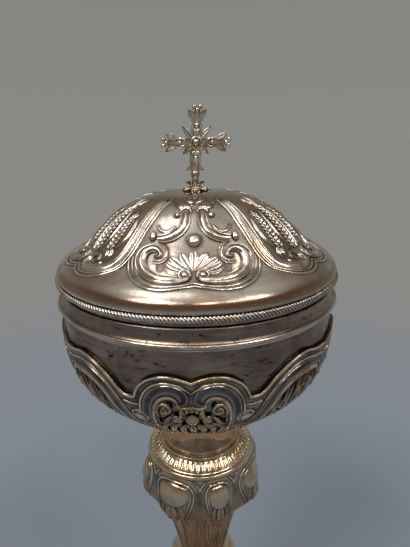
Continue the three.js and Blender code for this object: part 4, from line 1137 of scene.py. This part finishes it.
def math_node(tree, operation, first, second=None, clamp=False):
    node = tree.nodes.new("ShaderNodeMath")
    node.operation = operation
    node.use_clamp = clamp
    for socket, value in zip(node.inputs, (first, second)):
        if value is None:
            continue
        if isinstance(value, (int, float)):
            socket.default_value = value
        else:
            tree.links.new(value, socket)
    return node.outputs[0]


def noise(tree, vector, scale, detail=4, roughness=0.55):
    node = tree.nodes.new("ShaderNodeTexNoise")
    node.inputs["Detail"].default_value = detail
    node.inputs["Roughness"].default_value = roughness
    tree.links.new(vector, node.inputs["Vector"])
    if isinstance(scale, (int, float)):
        node.inputs["Scale"].default_value = scale
    else:
        tree.links.new(scale, node.inputs["Scale"])
    return node.outputs["Fac"]


def ramp(tree, value, low_end, high_end):
    node = tree.nodes.new("ShaderNodeMapRange")
    node.interpolation_type = "SMOOTHSTEP"
    node.inputs["From Min"].default_value = low_end
    node.inputs["From Max"].default_value = high_end
    tree.links.new(value, node.inputs["Value"])
    return node.outputs["Result"]


def stretched(tree, vector, scale):
    node = tree.nodes.new("ShaderNodeMapping")
    node.inputs["Scale"].default_value = scale
    tree.links.new(vector, node.inputs["Vector"])
    return node.outputs["Vector"]


def tarnish_and_shade_group():
    """Where the metal has darkened: in patches, and in the corners that a cloth can't reach, which also
    carry painted shade.
    """
    inputs = [("Crest", 0), ("Grime And Shade", 0), ("Amount", 0.5), ("Patch Size", 90)]
    group, entry, leave = node_group("tarnish_and_shade", inputs, ["Tarnish", "Spots"])
    place = group.nodes.new("ShaderNodeTexCoord").outputs["Object"]
    patches = ramp(group, noise(group, place, entry.outputs["Patch Size"], 5), 0.38, 0.68)
    fine = noise(group, place, 620, 3)
    shade = math_node(group, "MULTIPLY", patches, entry.outputs["Amount"])
    shade = math_node(group, "ADD", shade, math_node(group, "MULTIPLY", fine, 0.22))
    # The attribute for dirt and painted shade darkens the metal further.
    shade = math_node(group, "ADD", shade, math_node(group, "MULTIPLY", entry.outputs["Grime And Shade"], 0.85))
    rubbed = math_node(group, "MULTIPLY", entry.outputs["Crest"], 0.5)
    shade = math_node(group, "SUBTRACT", shade, rubbed, True)
    group.links.new(shade, leave.inputs["Tarnish"])
    streaks = noise(group, stretched(group, place, (1, 1, 2.6)), 190, 6, 0.7)
    group.links.new(ramp(group, streaks, 0.56, 0.66), leave.inputs["Spots"])
    return group


def wear_and_reflection_group():
    """The fine marks of the punch, the polishing cloth and years of handling, and horizontal bands of
    painted reflection.
    """
    inputs = [("Hammer", 0.4), ("Scratch", 0.4)]
    group, entry, leave = node_group("wear_and_reflection", inputs, ["Height", "Haze", "Streaks"])
    place = group.nodes.new("ShaderNodeTexCoord").outputs["Object"]
    hammer = math_node(group, "MULTIPLY", noise(group, place, 340, 2), entry.outputs["Hammer"])
    scratches = noise(group, stretched(group, place, (1, 1, 14)), 420, 3, 0.7)
    marks = math_node(group, "MULTIPLY", scratches, entry.outputs["Scratch"])
    group.links.new(math_node(group, "ADD", hammer, marks), leave.inputs["Height"])
    group.links.new(noise(group, place, 150, 5), leave.inputs["Haze"])
    # Horizontal bands of painted reflection: the noise is squeezed along the height.
    rubbed = noise(group, stretched(group, place, (1, 1, 30)), 28, 4, 0.6)
    group.links.new(ramp(group, rubbed, 0.46, 0.66), leave.inputs["Streaks"])
    return group


TARNISH_AND_SHADE = tarnish_and_shade_group()
WEAR_AND_REFLECTION = wear_and_reflection_group()


def attribute(tree, name):
    node = tree.nodes.new("ShaderNodeAttribute")
    node.attribute_name = name
    return node.outputs["Fac"]


def mixed(tree, mask, first, second):
    node = tree.nodes.new("ShaderNodeMix")
    node.data_type = "RGBA"
    tree.links.new(mask, node.inputs["Factor"])
    for socket, value in ((node.inputs["A"], first), (node.inputs["B"], second)):
        if isinstance(value, tuple):
            socket.default_value = (*value, 1)
        else:
            tree.links.new(value, socket)
    return node.outputs["Result"]


def metal(name, clean, dark, worn, amount, patch, polish, spots=None, gild=None, tint=None,
          reflection_streak=None, bump=0.25, scratch=0.4):
    """A polished metal: clean, dark where it has tarnished and where shade is painted, and worn on its
    crests. It may have spots, traces of gilding, horizontal bands of painted reflection, and a tint
    where the attribute of that name says.
    Amount and patch set how much it has tarnished and how many patches a metre holds, and polish
    is the roughness at its brightest."""
    material = bpy.data.materials.new(name)
    material.use_nodes = True
    tree = material.node_tree
    shader = tree.nodes["Principled BSDF"]
    shader.inputs["Metallic"].default_value = 1
    tarnish_and_shade = tree.nodes.new("ShaderNodeGroup")
    tarnish_and_shade.node_tree = TARNISH_AND_SHADE
    tarnish_and_shade.inputs["Amount"].default_value = amount
    tarnish_and_shade.inputs["Patch Size"].default_value = patch
    crest = attribute(tree, "crest")
    tree.links.new(crest, tarnish_and_shade.inputs["Crest"])
    tree.links.new(attribute(tree, "grime_and_shade"), tarnish_and_shade.inputs["Grime And Shade"])
    wear_and_reflection = tree.nodes.new("ShaderNodeGroup")
    wear_and_reflection.node_tree = WEAR_AND_REFLECTION
    wear_and_reflection.inputs["Scratch"].default_value = scratch
    colour = mixed(tree, crest, clean, worn)
    if gild:
        traces = ramp(tree, wear_and_reflection.outputs["Haze"], 0.5, 0.62)
        colour = mixed(tree, traces, colour, gild)
    if reflection_streak:
        colour = mixed(tree, wear_and_reflection.outputs["Streaks"], colour, reflection_streak)
    if tint:
        colour = mixed(tree, attribute(tree, "tint"), colour, tint)
    colour = mixed(tree, tarnish_and_shade.outputs["Tarnish"], colour, dark)
    if spots:
        colour = mixed(tree, tarnish_and_shade.outputs["Spots"], colour, spots)
    tree.links.new(colour, shader.inputs["Base Color"])
    rough = math_node(tree, "MULTIPLY", tarnish_and_shade.outputs["Tarnish"], 0.24)
    haze = math_node(tree, "MULTIPLY", wear_and_reflection.outputs["Haze"], 0.1)
    rough = math_node(tree, "ADD", math_node(tree, "ADD", rough, haze), polish)
    tree.links.new(rough, shader.inputs["Roughness"])
    relief = tree.nodes.new("ShaderNodeBump")
    relief.inputs["Strength"].default_value = bump
    relief.inputs["Distance"].default_value = 0.0002
    tree.links.new(wear_and_reflection.outputs["Height"], relief.inputs["Height"])
    tree.links.new(relief.outputs["Normal"], shader.inputs["Normal"])
    return material


# SILVER's tint is the reddish-brown of the painted reflection above the lid's lip.
SILVER = metal("silver", (0.73, 0.655, 0.575), (0.14, 0.11, 0.09), (0.93, 0.89, 0.83), 0.36, 90, 0.08,
               gild=(0.66, 0.53, 0.39), tint=(0.43, 0.27, 0.185))
# The lid's band and the cup take darker copies of the silver: their darkness is partly tarnishing and
# partly a painted dark reflection, and on the cup also painted shade behind the false cup.
BAND_SILVER = metal("band_silver", (0.34, 0.27, 0.265), (0.08, 0.058, 0.06), (0.8, 0.7, 0.55),
                    0.45, 110, 0.06, gild=(0.46, 0.34, 0.22), reflection_streak=(0.52, 0.41, 0.30))
CUP_SILVER = metal("cup_silver", (0.30, 0.245, 0.225), (0.105, 0.08, 0.072), (0.6, 0.5, 0.42),
                   0.5, 70, 0.15, spots=(0.04, 0.035, 0.042), gild=(0.36, 0.25, 0.17),
                   reflection_streak=(0.46, 0.36, 0.27))
SHEET_SILVER = metal("false_cup_silver", (0.52, 0.45, 0.405), (0.1, 0.078, 0.064), (0.7, 0.58, 0.42),
                     0.42, 80, 0.15, gild=(0.48, 0.34, 0.21))
TRIM_GILT = metal("false_cup_trim", (0.50, 0.37, 0.25), (0.07, 0.05, 0.036), (0.94, 0.8, 0.58),
                  0.4, 120, 0.12, gild=(0.5, 0.34, 0.2), tint=(0.36, 0.34, 0.36))
GILT = metal("gilt", (0.88, 0.73, 0.53), (0.2, 0.14, 0.09), (0.96, 0.87, 0.68), 0.3, 110, 0.06,
             gild=(0.78, 0.58, 0.36))
# The collar's gilt is a paler, less tarnished copy of the gilt: painted light that brightens the waisted
# collar, which reflects the dark underside of the cup.
COLLAR_GILT = metal("collar_gilt", (0.92, 0.77, 0.57), (0.34, 0.24, 0.15), (0.97, 0.88, 0.7),
                    0.2, 60, 0.03, gild=(0.82, 0.6, 0.38), bump=0.08)
KNOP_GILT = metal("knop_gilt", (0.66, 0.565, 0.44), (0.14, 0.1, 0.08), (0.9, 0.82, 0.67),
                  0.36, 110, 0.05, gild=(0.7, 0.52, 0.32), tint=(0.5, 0.31, 0.185))
CALYX_GILT = metal("calyx_gilt", (0.56, 0.345, 0.205), (0.15, 0.085, 0.05), (0.66, 0.44, 0.28),
                   0.4, 110, 0.12, gild=(0.56, 0.32, 0.17))
FINIAL_GILT = metal("finial_gilt", (0.65, 0.55, 0.44), (0.12, 0.085, 0.058), (0.90, 0.83, 0.71),
                    0.45, 130, 0.1, gild=(0.56, 0.44, 0.29))
STEEL = metal("steel", (0.52, 0.52, 0.51), (0.2, 0.19, 0.18), (0.6, 0.6, 0.6), 0.3, 120, 0.3)
INSIDE_NODES = ("spacer_tube", "tie_rod", "cup_boss", "foot_washer", "foot_nut", "lid_washer", "lid_nut")


def finish(piece, material):
    piece.data.materials.clear()
    piece.data.materials.append(material)


# Which CAD node each piece stands for.

def set_out(body, rows):
    """Gives pieces their body and metal, and hides the CAD nodes that they stand for."""
    for piece, material, *nodes in rows:
        finish(piece, material)
        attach(piece, body)
        if nodes:
            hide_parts(*nodes)


def assemble():
    shell, cartouches, wheat, band, sleeve, wire = build_lid()
    set_out("lid", [
        (shell, SILVER, "lid_shell"), (cartouches, SILVER), (wheat, SILVER),
        (band, BAND_SILVER, "lid_rim_band"), (sleeve, SILVER, "lid_bezel"),
        (wire, SILVER, "lid_cord_wire")])
    cross, calyx, lower, upper, beads = build_finial()
    set_out("lid", [
        (cross, FINIAL_GILT, "finial_cross"), (calyx, FINIAL_GILT, "finial_calyx"),
        (lower, FINIAL_GILT), (upper, FINIAL_GILT), (beads, FINIAL_GILT, "finial_ball")])
    bowl, sheet, narrow, wide, leaves, bead = build_cup()
    set_out("stand", [
        (bowl, CUP_SILVER, "cup_bowl"), (sheet, SHEET_SILVER, "false_cup"), (narrow, TRIM_GILT),
        (wide, TRIM_GILT), (leaves, TRIM_GILT)])
    set_out("stand", [(bead, SILVER, "cup_bead_wire")])
    calyx, leaves, knop, panels, cap, cone, teeth, neck, collar = build_stem()
    set_out("stand", [
        (calyx, CALYX_GILT, "knop_calyx"), (leaves, CALYX_GILT), (knop, KNOP_GILT, "knop_body"),
        (panels, KNOP_GILT), (cap, GILT, "knop_cap"), (cone, GILT, "dentil_ring"), (teeth, GILT),
        (neck, GILT, "neck_ring"), (collar, COLLAR_GILT, "cup_collar")])
    flange, band, wire, shell, cartouches, wheat, collar, spool, bulb = build_foot()
    set_out("stand", [
        (flange, SILVER, "foot_flange"), (band, SILVER, "foot_rim_band"),
        (wire, SILVER, "foot_cord_wire"), (shell, SILVER, "foot_shell"), (cartouches, SILVER),
        (wheat, SILVER)])
    set_out("stand", [
        (collar, GILT, "foot_collar"), (spool, GILT, "stem_spool"), (bulb, GILT, "stem_ring")])
    for name in INSIDE_NODES:
        finish(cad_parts[name], STEEL)


assemble()
for section in (BAND, ROUND, SWELLING, LEAF, PAIR, HOLLOW):
    bpy.data.objects.remove(section)


# Camera.

# Its place is in metres, and its angles are in radians.
CAMERA_PLACE = (0.00142, -0.17996, 0.30571)
PHOTO_HEIGHT = 547
PHOTO_FOCAL = 420
SENSOR = 36
PITCH, ROLL, YAW = 0.31176, -0.01465, 0.01133


def place_camera():
    data = bpy.data.cameras.new("camera")
    data.sensor_width = SENSOR
    data.lens = SENSOR * PHOTO_FOCAL / PHOTO_HEIGHT
    data.clip_start = 0.01
    camera = bpy.data.objects.new("camera", data)
    bpy.context.scene.collection.objects.link(camera)
    ahead = Vector((math.sin(YAW) * math.cos(PITCH), math.cos(YAW) * math.cos(PITCH), -math.sin(PITCH)))
    right = Vector((math.cos(YAW), -math.sin(YAW), 0))
    up = right.cross(ahead)
    side = right * math.cos(ROLL) + up * math.sin(ROLL)
    above = up * math.cos(ROLL) - right * math.sin(ROLL)
    turn = Matrix((side, above, -ahead)).transposed().to_4x4()
    camera.matrix_world = Matrix.Translation(CAMERA_PLACE) @ turn
    bpy.context.scene.camera = camera


# Floor, sky and lamps.

# The floor's colour changes between these distances from the middle, in metres.
FLOOR_BLEND = (0.1, 0.9)
FLOOR_NEAR, FLOOR_FAR = (0.228, 0.268, 0.328), (0.274, 0.276, 0.269)


def make_floor():
    bpy.ops.object.select_all(action="DESELECT")
    bpy.ops.mesh.primitive_circle_add(vertices=128, radius=60, fill_type="NGON", location=(0, 0, 0))
    floor = bpy.context.object
    floor.name = "floor"
    material = bpy.data.materials.new("pale_floor")
    material.use_nodes = True
    tree = material.node_tree
    place = tree.nodes.new("ShaderNodeTexCoord").outputs["Object"]
    distance = tree.nodes.new("ShaderNodeVectorMath")
    distance.operation = "LENGTH"
    tree.links.new(place, distance.inputs[0])
    colour = mixed(tree, ramp(tree, distance.outputs["Value"], *FLOOR_BLEND), FLOOR_NEAR, FLOOR_FAR)
    shader = tree.nodes["Principled BSDF"]
    tree.links.new(colour, shader.inputs["Base Color"])
    shader.inputs["Roughness"].default_value = 0.9
    shader.inputs["Specular IOR Level"].default_value = 0.1
    finish(floor, material)


# The sky's colours, from the horizon at 0 to the zenith at 1.
SKY = [(0.0, (0.252, 0.258, 0.245)), (0.26, (0.24, 0.237, 0.222)), (0.36, (0.2, 0.165, 0.135)),
       (0.6, (0.185, 0.145, 0.115)), (0.76, (0.36, 0.33, 0.3)), (0.9, (0.57, 0.56, 0.54)),
       (1.0, (0.66, 0.65, 0.63))]


def make_sky():
    world = bpy.data.worlds.new("studio")
    bpy.context.scene.world = world
    world.use_nodes = True
    tree = world.node_tree
    place = tree.nodes.new("ShaderNodeTexCoord")
    split = tree.nodes.new("ShaderNodeSeparateXYZ")
    tree.links.new(place.outputs["Generated"], split.inputs[0])
    colours = tree.nodes.new("ShaderNodeValToRGB")
    tree.links.new(split.outputs["Z"], colours.inputs["Fac"])
    stops = colours.color_ramp.elements
    while len(stops) < len(SKY):
        stops.new(0.5)
    for stop, (height, colour) in zip(stops, SKY):
        stop.position = height
        stop.color = (*colour, 1)
    tree.links.new(colours.outputs["Color"], tree.nodes["Background"].inputs["Color"])
    tree.nodes["Background"].inputs["Strength"].default_value = 1


def lamp(name, place, spread, strength, colour=(1, 1, 1)):
    """A far lamp that shines from a place towards the ciborium."""
    data = bpy.data.lights.new(name, "SUN")
    data.angle = math.radians(spread)
    data.energy = strength
    data.color = colour
    light = bpy.data.objects.new(name, data)
    bpy.context.scene.collection.objects.link(light)
    light.location = place
    light.rotation_euler = (-Vector(place)).to_track_quat("-Z", "Y").to_euler()


def light_studio():
    lamp("window", (-0.55, -0.45, 0.95), 22, 0.9, (0.97, 0.98, 1))
    lamp("far_window", (0.6, -0.3, 0.9), 16, 0.45, (1, 0.98, 0.94))
    lamp("front", (0.12, -0.62, 0.85), 8, 0.2, (1, 0.93, 0.82))
    lamp("front_left", (-0.3, -0.6, 0.9), 7, 0.15, (1, 0.97, 0.92))
    lamp("front_right", (0.42, -0.55, 0.9), 7, 0.16, (1, 0.95, 0.88))
    lamp("ceiling", (-0.3, 0.1, 1), 26, 0.35, (0.96, 0.98, 1))


place_camera()
make_floor()
make_sky()
light_studio()
bpy.context.scene.view_settings.view_transform = "Standard"
